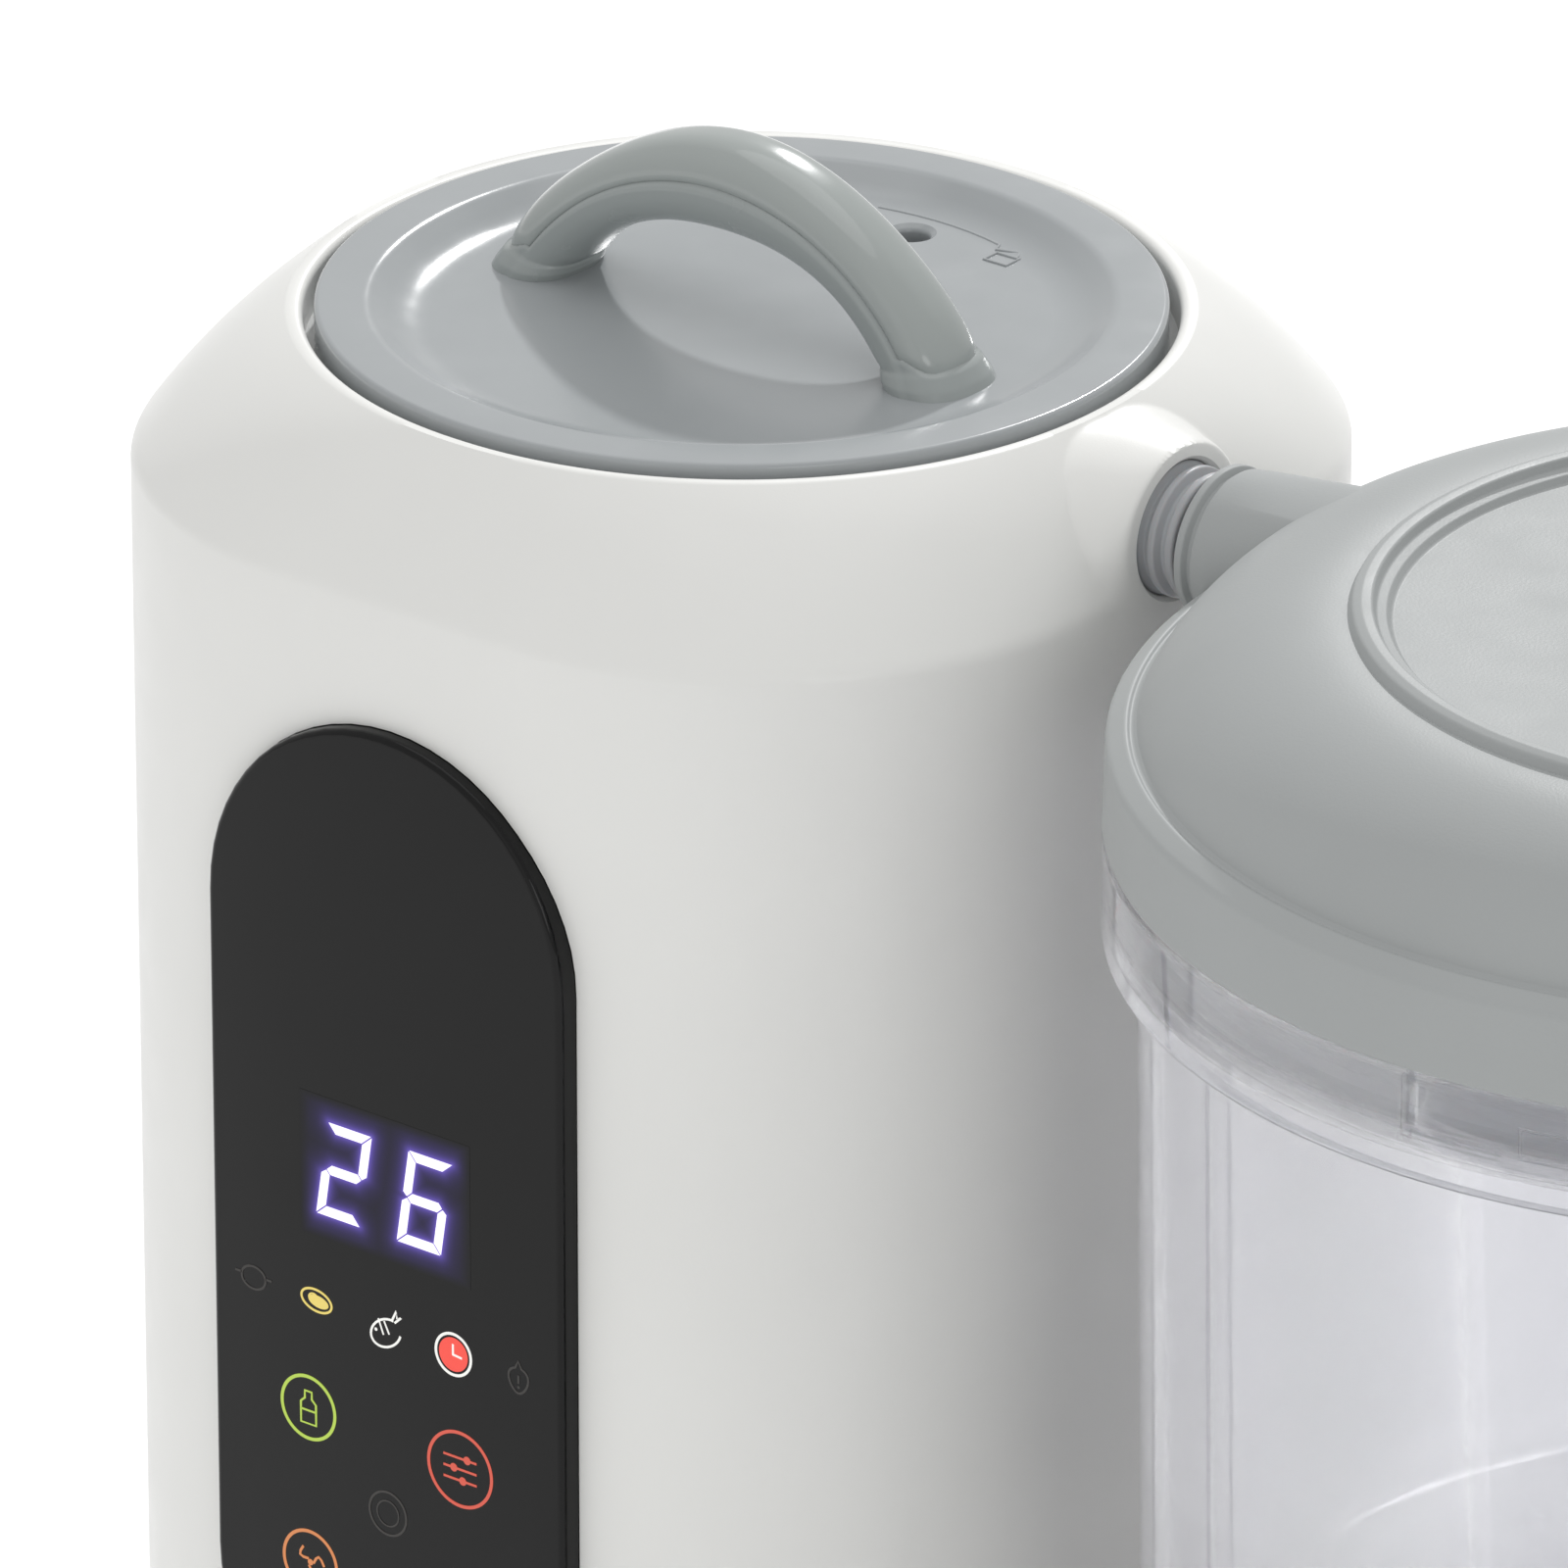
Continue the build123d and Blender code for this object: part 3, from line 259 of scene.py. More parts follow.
def cleaned(made):
    """Merges doubled points and turns the faces outwards."""
    bm = bmesh.new()
    bm.from_mesh(made.data)
    bmesh.ops.remove_doubles(bm, verts=bm.verts, dist=2e-7)
    bmesh.ops.recalc_face_normals(bm, faces=bm.faces)
    bm.to_mesh(made.data)
    bm.free()
    return made


def coated(made, surface, sharp):
    """Gives one material and smooth shading, with edges over the sharp angle left crisp."""
    made.data.materials.clear()
    made.data.materials.append(surface)
    made.data.polygons.foreach_set("use_smooth", [True] * len(made.data.polygons))
    made.data.set_sharp_from_angle(angle=radians(sharp))


def dressed(made, body, surface, slot, replaces=(), sharp=35):
    """Finishes an object, which rides on a body and may stand for CAD nodes."""
    coated(cleaned(made), surface, sharp)
    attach(made, body)
    if replaces:
        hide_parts(*replaces)
    return made


def piece(name, body, points, faces, *looks, **more):
    """Finished object from points in millimetres."""
    return dressed(mesh_object(name, points, faces), body, *looks, **more)


def shape(points, faces):
    """Bare object for booleans."""
    return cleaned(mesh_object("tool", points, faces))


def combine(made, part, operation="DIFFERENCE"):
    """Applies a boolean with a part's points and faces."""
    tool = shape(*part)
    cut = made.modifiers.new("cut", "BOOLEAN")
    cut.operation = operation
    cut.solver = "EXACT"
    cut.object = tool
    graph = bpy.context.evaluated_depsgraph_get()
    result = bpy.data.meshes.new_from_object(made.evaluated_get(graph))
    made.modifiers.clear()
    made.data = result
    bpy.data.objects.remove(tool)


def soften(corners, closed=True, facets=0):
    """Outline of complex points from corners (a, b) or (a, b, radius), with the round ones as arcs.

    Each arc has as many facets as its turn needs, or the number given.
    """
    outline = []
    for i, corner in enumerate(corners):
        here = complex(corner[0], corner[1])
        radius = corner[2] if len(corner) > 2 else 0
        if not radius or (not closed and i in (0, len(corners) - 1)):
            outline.append(here)
            continue
        last, following = corners[i - 1], corners[(i + 1) % len(corners)]
        back = complex(last[0], last[1]) - here
        ahead = complex(following[0], following[1]) - here
        half = abs(cmath.phase(ahead / back)) / 2
        reach = min(radius / tan(half), 0.49 * abs(back), 0.49 * abs(ahead))
        back, ahead = back / abs(back), ahead / abs(ahead)
        middle = here + (back + ahead) / abs(back + ahead) * reach / cos(half)
        first = here + back * reach - middle
        turn = cmath.phase((here + ahead * reach - middle) / first)
        steps = facets or max(2, ceil(abs(turn) / FACET))
        outline += [middle + first * cmath.exp(1j * turn * k / steps) for k in range(steps + 1)]
    return outline


def bowed(start, through, end, steps):
    """Points of the arc from start to end, without start, each as a sharp corner."""
    a, b, c = (complex(*p) for p in (start, through, end))
    w = (c - a) / (b - a)
    centre = a + (b - a) * (w - abs(w) ** 2) / (2j * w.imag)
    turn = cmath.phase((c - centre) / (a - centre))
    side = cmath.phase((b - centre) / (a - centre))
    if turn * side < 0 or abs(turn) < abs(side):
        turn -= 2 * pi * (1 if turn > 0 else -1)
    return [(p.real, p.imag) for k in range(1, steps + 1)
            for p in [centre + (a - centre) * cmath.exp(1j * turn * k / steps)]]


def lathe(outline, x=0.0, segments=ROUND, along_x=False, z=0.0):
    """Points and faces of an outline (radius, height) turned about the upright axis at x.

    With along_x the axis is the X direction at height z, and an outline's second value is an X place.
    """
    outline = [(p.real, p.imag) if isinstance(p, complex) else p[:2] for p in outline]
    points, rows = [], []
    for radius, height in outline:
        if radius < 1e-6:
            rows.append([len(points)] * segments)
            points.append((height, 0, z) if along_x else (x, 0, height))
            continue
        rows.append(next_row(points, segments))
        for k in range(segments):
            a = 2 * pi * k / segments
            u, v = radius * cos(a), radius * sin(a)
            points.append((height, u, z + v) if along_x else (x + u, v, height))
    return points, quads(rows)


def quads(rows, closed_rows=True, closed_ring=True):
    """Faces between rows of point numbers. Equal numbers in a face are merged."""
    faces = []
    pairs = list(zip(rows, rows[1:]))
    if closed_rows:
        pairs.append((rows[-1], rows[0]))
    for low, high in pairs:
        count = len(low) if closed_ring else len(low) - 1
        for k in range(count):
            n = (k + 1) % len(low)
            face = []
            for corner in (low[k], low[n], high[n], high[k]):
                if corner not in face:
                    face.append(corner)
            if len(face) > 2:
                faces.append(face)
    return faces


def capped(rows):
    """Faces of a solid between rings of point numbers, with both ends filled."""
    return quads(rows, closed_rows=False) + [rows[0][::-1], rows[-1]]


def next_row(points, count):
    """Numbers of the next count points."""
    return list(range(len(points), len(points) + count))


def joined(*parts):
    """One set of points and faces from several."""
    points, faces = [], []
    for more_points, more_faces in parts:
        start = len(points)
        points += list(more_points)
        faces += [[start + i for i in face] for face in more_faces]
    return points, faces


def moved(part, x=0.0, y=0.0, z=0.0, turn=0.0):
    """Points and faces turned about Z by turn degrees, then moved."""
    c, s = cos(radians(turn)), sin(radians(turn))
    return [(px * c - py * s + x, px * s + py * c + y, pz + z) for px, py, pz in part[0]], part[1]


def block(x, y, z):
    """Box from three (low, high) pairs."""
    points = [(a, b, c) for c in z for b in y for a in x]
    return points, [[0, 2, 3, 1], [4, 5, 7, 6], [0, 1, 5, 4], [2, 6, 7, 3], [0, 4, 6, 2], [1, 3, 7, 5]]


# ---- tower
BOSS_R = 11.1               # raised ring round the steam port
BOSS_REACH = 20             # farther from the port's axis, the wall is as it was
DUCT_R = 6.2
POCKET_PLAY = 0.12          # gap round the panel
DENSE_ANGLE = 16            # degrees either side of the port where the tower's mesh is fine


def plan_radius(angle, half, straight):
    """Distance from the axis to a rounded square of half side half, at an angle."""
    a = abs((angle + pi / 4) % (pi / 2) - pi / 4)
    if tan(a) <= straight / half:
        return half / cos(a)
    across = straight * (cos(a) + sin(a))
    return across + sqrt(across ** 2 - 2 * straight ** 2 + (half - straight) ** 2)


def ease(t):
    t = min(1.0, max(0.0, t))
    return t * t * (3 - 2 * t)


def shoulder(inset, steps):
    """Rows (reach, straight, height) from the crease to the mouth."""
    half, mouth = TOWER_HALF - inset, MOUTH_R + 2 - inset
    drop = 0.8 * inset
    foot = complex(half, CREASE_Z - drop)
    knee = complex(half - 4.6, CREASE_Z + 10.6 - drop)
    top = complex(mouth, RIM_Z - drop)
    rows = []
    for k in range(steps + 1):
        t = k / steps
        place = (1 - t) ** 2 * foot + 2 * t * (1 - t) * knee + t ** 2 * top
        rows.append((place.real, TOWER_FLAT * (1 - t) + 0.4 * t, place.imag))
    return rows


def rounded_crease(rows, soft):
    """Replaces the corner between the wall and the shoulder by a soft bend."""
    reach, straight, height = rows[0]
    beyond = [row for row in rows if row[2] > height + soft]
    last = beyond[0]
    bend = []
    for k in range(9):
        t = k / 8
        a, b, c = (1 - t) ** 2, 2 * t * (1 - t), t ** 2
        bend.append(tuple(a * p + b * q + c * r for p, q, r in
                          zip((reach, straight, height - soft), rows[0], last)))
    return bend + beyond[1:]


def tower_angles():
    """Column angles, close together beside the port."""
    fine = [radians(0.3 * k) for k in range(int(-DENSE_ANGLE / 0.3), int(DENSE_ANGLE / 0.3) + 1)]
    coarse = 260
    start, stop = fine[-1], 2 * pi + fine[0]
    return fine + [start + (stop - start) * k / coarse for k in range(1, coarse)]


def boss_reach(x, y, z):
    """X of the outer surface once the round boss of the port is added to it."""
    d = hypot(y, z - PORT_Z)
    if d > BOSS_REACH:
        return x
    side = abs(y) / d if d > 0 else 0
    soft = 0.4 + 3.8 * side ** 1.5
    if z < PORT_Z:
        soft = 4.2
    weight = ease((BOSS_R + soft - d) / (0.5 + soft))
    return x + (TOWER_HALF - x) * weight


def tower_rows():
    """Closed loop of rows (reach, straight, height): up the outside, over the lip and down the inside."""
    outer = rounded_crease(shoulder(0, 72), 1.1)
    rise = outer[0][2] - TOWER_FOOT_Z
    walls = [(TOWER_HALF, TOWER_FLAT, TOWER_FOOT_Z + rise * k / 40) for k in range(40)]
    lip = [(p.real, 0.4, p.imag) for p in soften(
        [(MOUTH_R + 2.2, RIM_Z - 0.15), (MOUTH_R, RIM_Z, 1.3), (MOUTH_R, RIM_Z - 5.5)], closed=False)[1:]]
    collar = [(MOUTH_R, 0.4, TANK_TOP), (MOUTH_R + 2.6, 0.4, TANK_TOP), (MOUTH_R + 2.6, 0.4, RIM_Z - 3.4)]
    inner = [row for row in reversed(shoulder(SHELL_T, 16))
             if row[0] > MOUTH_R + 2.7 and row[2] < RIM_Z - 3.4]
    inside = [(TOWER_HALF - SHELL_T, TOWER_FLAT, TOWER_FOOT_Z + up) for up in (60, 0)]
    return walls + outer, lip + collar + inner + inside


def stadium(half, low, high, steps=28):
    """Oblong outline (x, z) with round ends, about the tower's middle."""
    upper = [(half * cos(pi * k / steps), high - half + half * sin(pi * k / steps)) for k in range(steps + 1)]
    lower = [(-half * cos(pi * k / steps), low + half - half * sin(pi * k / steps)) for k in range(steps + 1)]
    return upper + lower


def prism_y(outline, rows):
    """Closed solid whose (inset, y) rows are outlines (x, z) pulled in by inset."""
    points, numbers = [], []
    for inset, y in rows:
        line = outline(inset)
        numbers.append(next_row(points, len(line)))
        points += [(TOWER_X + px, y, pz) for px, pz in line]
    return points, capped(numbers)


def panel_outline(inset):
    half = (PANEL_HIGH.x - PANEL_LOW.x) / 2
    return stadium(half - inset, PANEL_LOW.z + inset, PANEL_HIGH.z - inset)


def tower_shell():
    """Tower wall with the panel's pocket and window, the port and the steam duct's hole."""
    outside, rest = tower_rows()
    angles = tower_angles()
    points, rows = [], []
    for index, (half, straight, height) in enumerate(outside + rest):
        rows.append(next_row(points, len(angles)))
        for angle in angles:
            r = plan_radius(angle, half, straight)
            x, y = r * cos(angle), r * sin(angle)
            if index < len(outside) and x > 0:
                x = boss_reach(x, y, height)
            points.append((TOWER_X + x, y, height))
    shell = shape(points, quads(rows))

    def pocket_outline(inset):
        return panel_outline(inset - POCKET_PLAY)

    combine(shell, prism_y(pocket_outline, [(0, -TOWER_HALF - 3), (0, PANEL_HIGH.y + 0.05)]))
    combine(shell, block((TOWER_X - 19, TOWER_X + 19), (-TOWER_HALF - 1, -TOWER_HALF + SHELL_T + 1),
                         (KEY_LOW_Z - 7, DIGITS_Z + 13)))
    wall = TOWER_X + TOWER_HALF
    port = soften([(0, wall + 2), (PORT_BORE + 0.7, wall + 2), (PORT_BORE + 0.7, wall + 0.02, 0),
                   (PORT_BORE, wall + 0.02 - 0.7, 1.2), (PORT_BORE, wall - 6), (0, wall - 6)])
    combine(shell, lathe(port, segments=128, along_x=True, z=PORT_Z))
    duct = [(0, wall + 1), (DUCT_R, wall + 1), (DUCT_R, wall - 16), (0, wall - 16)]
    combine(shell, lathe(duct, segments=64, along_x=True, z=PORT_Z))
    shell.name = "tower_shell_skin"
    dressed(shell, "root", WHITE, "white_shell", ["tower_shell"], sharp=42)


# ---- panel
def control_panel():
    """Black plate with a rounded edge."""
    edge = 0.9
    arc = [(edge * (1 - cos(a)), PANEL_FRONT + edge * (1 - sin(a)))
           for a in (radians(15 * k) for k in range(7))]
    piece("control_panel_plate", "root", *prism_y(panel_outline, [(0, PANEL_HIGH.y)] + arc), PANEL_BLACK,
          "panel_black", ["control_panel"], sharp=50)


DIGIT_H = 12.7              # standard half-inch digits
DIGIT_W = 6.9
DIGIT_PITCH = 12.7
DIGIT_SLANT = tan(radians(9))
STROKE = 1.28
WINDOW_HALF = (13.4, 9.6)   # half width and height of the display's window
WINDOW_STEP = 0.3           # size of the window's squares, which carry the glow
HALO_LAYERS = ((0.85, 0.55), (0.16, 2.4))   # brightness and reach of the glow, tight and wide
LEGEND_Y = PANEL_FRONT - 0.06
FINE = 0.3                  # line width of a symbol
RING = 0.44                 # line width of a touch key's ring


def flat(outline, low_y, high_y):
    """Extruded outline (x, z) about the tower's middle, from low_y to high_y."""
    count = len(outline)
    points = [(TOWER_X + x, y, z) for y in (low_y, high_y) for x, z in outline]
    faces = [[k, (k + 1) % count, count + (k + 1) % count, count + k] for k in range(count)]
    return points, faces + [list(range(count))[::-1], list(range(count, 2 * count))]


def stroke(line, section, closed, place):
    """Solid along a line of flat (a, b) points, its section a loop of (offset across, level) pairs."""
    sides = []
    for k in range(len(line)):
        before = line[k - 1] if closed or k else line[k]
        after = line[(k + 1) % len(line)] if closed or k < len(line) - 1 else line[k]
        ahead = complex(after[0] - before[0], after[1] - before[1])
        sides.append(1j * ahead / abs(ahead))
    points, rows = [], []
    for offset, level in section:
        rows.append(next_row(points, len(line)))
        points += [place(a + side.real * offset, b + side.imag * offset, level)
                   for (a, b), side in zip(line, sides)]
    faces = quads(rows, closed_ring=closed)
    if not closed:
        faces += [[row[0] for row in rows], [row[-1] for row in rows][::-1]]
    return points, faces


def ribbon(line, width, low_y, high_y, closed):
    """Flat stroke on the panel, along (x, z) points about the tower's middle."""
    half = width / 2
    section = [(half, low_y), (-half, low_y), (-half, high_y), (half, high_y)]
    return stroke(line, section, closed, lambda x, z, y: (TOWER_X + x, y, z))


def segments_of(digit):
    """Outlines (x, z) of a digit's lit segments, about the digit's middle before it is slanted."""
    w, h, t, gap = DIGIT_W / 2, DIGIT_H / 2, STROKE, 0.14
    m = t / 2
    bar = [(-w + gap + m, 0), (-w + t + gap, m), (w - t - gap, m), (w - gap - m, 0), (w - t - gap, -m),
           (-w + t + gap, -m)]

    def rung(z, inward):
        return [(-w + gap, z), (w - gap, z), (w - t - gap, z + inward), (-w + t + gap, z + inward)]

    def upright(side, up):
        outer, inner, middle = side * w, side * (w - t), side * (w - m)
        upper = [(outer, h - gap), (inner, h - gap - t), (inner, gap + m), (middle, gap),
                 (outer, gap + m * 0.8)]
        return [(x, up * z) for x, z in upper]

    shapes = {"top": rung(h, -t), "middle": bar, "bottom": rung(-h, t), "up_left": upright(-1, 1),
              "up_right": upright(1, 1), "low_left": upright(-1, -1), "low_right": upright(1, -1)}
    lit = {2: ("top", "up_right", "middle", "low_left", "bottom"),
           6: ("top", "up_left", "middle", "low_left", "low_right", "bottom")}[digit]
    return [shapes[name] for name in lit]


def digit_outlines():
    placed = []
    for digit, centre in ((2, -DIGIT_PITCH / 2), (6, DIGIT_PITCH / 2)):
        for outline in segments_of(digit):
            placed.append([(centre + x + DIGIT_SLANT * z, DIGITS_Z + z) for x, z in outline])
    return placed


def distance_to(outline, x, z):
    """Distance from a point to the nearest edge of an outline."""
    best = float("inf")
    for k, (ax, az) in enumerate(outline):
        bx, bz = outline[(k + 1) % len(outline)]
        along = ((x - ax) * (bx - ax) + (z - az) * (bz - az)) / ((bx - ax) ** 2 + (bz - az) ** 2)
        along = min(1.0, max(0.0, along))
        best = min(best, hypot(x - ax - along * (bx - ax), z - az - along * (bz - az)))
    return best


def display():
    """Lit digits on a slightly lighter window, which glows violet round them."""
    lit = digit_outlines()
    half_w, half_h = WINDOW_HALF
    columns, lines = int(2 * half_w / WINDOW_STEP), int(2 * half_h / WINDOW_STEP)
    front, back = PANEL_FRONT - 0.03, PANEL_FRONT + 0.3
    points, rows = [], []
    for j in range(lines + 1):
        rows.append(next_row(points, columns + 1))
        z = DIGITS_Z - half_h + 2 * half_h * j / lines
        points += [(TOWER_X - half_w + 2 * half_w * i / columns, front, z) for i in range(columns + 1)]
    faces = quads(rows, closed_rows=False, closed_ring=False)
    border = [*rows[0], *(row[-1] for row in rows[1:]), *rows[-1][-2::-1], *(row[0] for row in rows[-2:0:-1])]
    behind = next_row(points, len(border))
    points += [(points[i][0], back, points[i][2]) for i in border]
    faces += quads([border, behind], closed_rows=False) + [behind]
    window = piece("display_window", "root", points, faces, HALO, "display_black")
    halo = window.data.attributes.new("halo", "FLOAT", "POINT")
    for k, vertex in enumerate(window.data.vertices):
        x, z = vertex.co.x / MM - TOWER_X, vertex.co.z / MM
        near = min(distance_to(outline, x, z) for outline in lit)
        rim = max(0.0, 1 - max(abs(x) / half_w, abs(z - DIGITS_Z) / half_h)) * 8
        bright = sum(share * 2.718 ** (-near / reach) for share, reach in HALO_LAYERS)
        halo.data[k].value = bright * min(1.0, rim)
    digits = joined(*(flat(outline, front - 0.08, front + 0.1) for outline in lit))
    piece("display_digits", "root", *digits, DIGIT_LIT, "display_black")


def circle(radius, x=0.0, z=0.0, squash=1.0, tilt=0.0, steps=48):
    c, s = cos(tilt), sin(tilt)
    turns = [2 * pi * k / steps for k in range(steps)]
    ring = [(radius * cos(a), squash * radius * sin(a)) for a in turns]
    return [(x + u * c - v * s, z + u * s + v * c) for u, v in ring]


def legend(name, surface, *strokes):
    """Group of strokes (line, width, closed) or filled outlines, printed on the plate."""
    parts = []
    for stroke in strokes:
        if isinstance(stroke, tuple):
            line, width, closed = stroke
            parts.append(ribbon(line, width, LEGEND_Y, PANEL_FRONT + 0.1, closed))
        else:
            parts.append(flat(stroke, LEGEND_Y + 0.02, PANEL_FRONT + 0.1))
    piece(name, "root", *joined(*parts), surface, "display_black")


def at(x, z, *line):
    """Points (x, z) of a line moved to a place."""
    return [(x + px, z + pz) for px, pz in line]


def symbols():
    """Small plain symbols in a row under the digits, and the dial sign between the keys."""
    row = DIGITS_Z - 18.9
    legend("symbol_meat", YELLOW_LIT, (circle(2.4, -11, row + 0.5, 0.6, -0.12), FINE, True),
           circle(1.6, -10.7, row + 0.4, 0.5, -0.12), (circle(0.7, -11.5, row + 0.75, 0.8), 0.22, True))
    fish = [(2.55 * cos(a) - 0.5, 1.75 * sin(a) - 0.35) for a in (radians(36 + 12 * k) for k in range(25))]
    tail = [(1.55, 0.55), (2.9, 0.9), (2.0, 1.15), (1.9, 2.5), (1.0, 1.25)]
    c, s = cos(radians(32)), sin(radians(32))
    legend("symbol_fish", WHITE_LIT,
           ([(0.2 + x * c - z * s, row + x * s + z * c) for x, z in fish], FINE, False),
           ([(0.2 + x * c * 0.9, row + x * s + z * 0.75) for x, z in tail], FINE, False),
           (at(-0.9, row, (-0.3, 1.1), (0.5, -0.9)), 0.22, False),
           (at(0, row, (-0.3, 1.0), (0.5, -0.6)), 0.22, False), circle(0.22, -1.6, row - 0.5))
    legend("symbol_clock_ring", WHITE_LIT, (circle(2.75, 10.6, row - 0.2), 0.36, True),
           (at(10.6, row - 0.2, (-0.05, 1.4), (-0.05, -0.1)), FINE, False),
           (at(10.6, row - 0.2, (-0.15, 0), (1.35, -0.15)), FINE, False))
    legend("symbol_clock_face", RED_LIT, circle(2.25, 10.6, row - 0.2))
    lugs = [(at(-21, row + 0.6, (x, 0.3), (x + 1.0, 0.3)), FINE, False) for x in (-2.9, 1.9)]
    legend("symbol_pot", LEGEND_OFF, (circle(1.9, -21, row + 0.6, 0.8), FINE, True), *lugs)
    drop = [(1.5 * sin(a) * (1 - 0.25 * cos(a)), -1.7 * cos(a) + (0.9 if abs(a - pi) < 0.2 else 0))
            for a in (2 * pi * k / 24 for k in range(24))]
    legend("symbol_drop", LEGEND_OFF, (at(20.8, row - 0.6, *drop), FINE, True),
           (at(20.8, row - 0.6, (0, 0.7), (0, -0.4)), FINE, False), circle(0.2, 20.8, row - 1.5))
    between = (KEY_LOW_Z + KEY_HIGH_Z) / 2
    legend("dial_symbol", LEGEND_OFF, (circle(2.9, 0, between), FINE, True),
           (circle(1.7, 0, between), 0.2, True))


def touch_keys():
    """Rings of the touch keys, with a plain sign in each."""
    left, right, high, low = -KEY_X - 0.5, KEY_X - 0.5, KEY_HIGH_Z, KEY_LOW_Z
    program = high - 1.0
    for name, surface, x, z, radius in (
            ("key_milk", KEY_GREEN, left, high, 4.2), ("key_program", KEY_RED, right, program, 4.95),
            ("key_blend", KEY_ORANGE, left, low, 4.2), ("key_start", KEY_ORANGE, right, low, 4.2)):
        legend(name, surface, (circle(radius, x, z, steps=72), RING, True))
    bottle = [(-1.2, -2.2), (1.2, -2.2), (1.2, 0.6), (0.55, 1.2), (0.55, 2.2), (-0.55, 2.2), (-0.55, 1.2),
              (-1.2, 0.6)]
    legend("key_milk_symbol", KEY_GREEN, (at(left, high, *bottle), FINE, True),
           (at(left, high, (-1.2, -0.4), (1.2, -0.4)), 0.25, False))
    sliders = [(at(right, program, (-2.6, dz), (2.6, dz)), FINE, False) for dz in (1.5, 0, -1.5)]
    knobs = [circle(0.55, right + dx, program + dz) for dx, dz in ((1.1, 1.5), (-1.0, 0), (0.4, -1.5))]
    legend("key_program_symbol", KEY_RED, *sliders, *knobs)
    vanes = []
    for a in (0, 2 * pi / 3, 4 * pi / 3):
        arc = [(0.5 + 1.7 * t, 1.1 * sin(pi * t)) for t in (0, 0.25, 0.5, 0.75, 1)]
        turned = [(x * cos(a) - z * sin(a), x * sin(a) + z * cos(a)) for x, z in arc]
        vanes.append((at(left, low, *turned), 0.34, False))
    legend("key_blend_symbol", KEY_ORANGE, *vanes, circle(0.42, left, low))
    triangle = at(right, low, (-1.3, -1.7), (1.9, 0), (-1.3, 1.7))
    legend("key_start_symbol", KEY_ORANGE, (triangle, FINE, True))


# ---- tank lid
def tank_lid():
    """Glossy lid with a raised rim, a dished middle, a vent hole and raised marks for the way it turns."""
    floor, top, r, seat = HANDLE_FLOOR_Z, RIM_Z + 0.9, TANK_LID_R, TANK_TOP
    outline = soften([(0, floor), (40.8, floor, 12), (45.6, top, 2.4), (r, top, 0.7), (r, seat + 0.3),
                      (48.2, seat + 0.3), (48.2, seat - 0.4), (46.4, seat - 0.4), (46.4, seat - 2.6),
                      (48.2, seat - 2.6), (48.2, seat - 3.4), (44.8, seat - 3.4), (44.8, floor - 1.6, 0.8),
                      (42, floor - 2.4), (0, floor - 2.4)])
    lid = shape(*lathe(outline, TOWER_X))
    vent = lathe(soften([(0, floor + 2), (3.2, floor + 2), (3.2, floor + 0.02), (2.3, floor - 0.6, 0.8),
                         (2.3, floor - 5), (0, floor - 5)]), segments=64)
    combine(lid, moved(vent, TOWER_X - 0.9, MARKS_Y))
    for mark in lid_marks():
        combine(lid, mark, "UNION")
    lid.name = "tank_lid_cap"
    dressed(lid, "tank_cover", GREY, "grey_lid", ["tank_lid"], sharp=22)


def raised_line(line, width, height, closed=False):
    """Low rounded ridge on the floor of the tank lid, along (x, y) points about the tower's axis."""
    sunk, crown = HANDLE_FLOOR_Z - 0.3, HANDLE_FLOOR_Z + height
    half = [(0.5, sunk), (0.5, crown - 0.1), (0.25, crown)]
    section = [(-width * side, level) for side, level in half]
    section += [(width * side, level) for side, level in reversed(half)]
    return stroke(line, section, closed, lambda x, y, z: (TOWER_X + x, y, z))


MARKS_Y = 34.6              # how far behind the tower's axis the vent and the marks lie
LOCK_X = 13.2


def lid_marks():
    """Curved arrow and small padlock beside the vent."""
    def on_circle(r, angle):
        return (r * cos(radians(angle)), r * sin(radians(angle)))

    arrow = [on_circle(41.0, 103 - 4 * k) for k in range(8)]
    arrow += [on_circle(42.2, 73), on_circle(40.1, 69.5), on_circle(38.2, 73.6)]
    arrow += [on_circle(39.4, 75 + 4 * k) for k in range(8)]
    lock = [(LOCK_X + x, MARKS_Y + y) for x, y in ((-1.7, -1.3), (1.7, -1.3), (1.7, 1.3), (-1.7, 1.3))]
    shackle = [(LOCK_X + 1.15 * cos(a), MARKS_Y + 1.3 + 1.7 * sin(a)) for a in (pi * k / 8 for k in range(7))]
    return [raised_line(arrow, 0.45, 0.22, True), raised_line(lock, 0.45, 0.22, True),
            raised_line(shackle, 0.4, 0.2)]


# ---- arched handles
ARCH_HALF = (handle_high.x - handle_low.x) / 2 - 9.4
ARCH_RISE = 18.1
ARCH_R = (ARCH_HALF ** 2 + ARCH_RISE ** 2) / (2 * ARCH_RISE)
FOOT_ANGLE = asin((ARCH_R - ARCH_RISE) / ARCH_R)
ARCH_LENGTH = ARCH_R * (pi - 2 * FOOT_ANGLE)
SEAM_LEVEL = 0.7            # outward of the arch's centre line, where the glossy upper half starts
INLAY_START = 2.7           # along the arch, from the foot to the end of the glossy half
INLAY_CORNER = 1.9
GRIP_FACETS = 72
OVAL_POWER = 2.5            # 2 would make the grip's section an ellipse
COLLAR_TOP = 2.4            # height of the flared collar round each foot
COLLAR_FOOT = 0.9           # height of the collar's upright edge


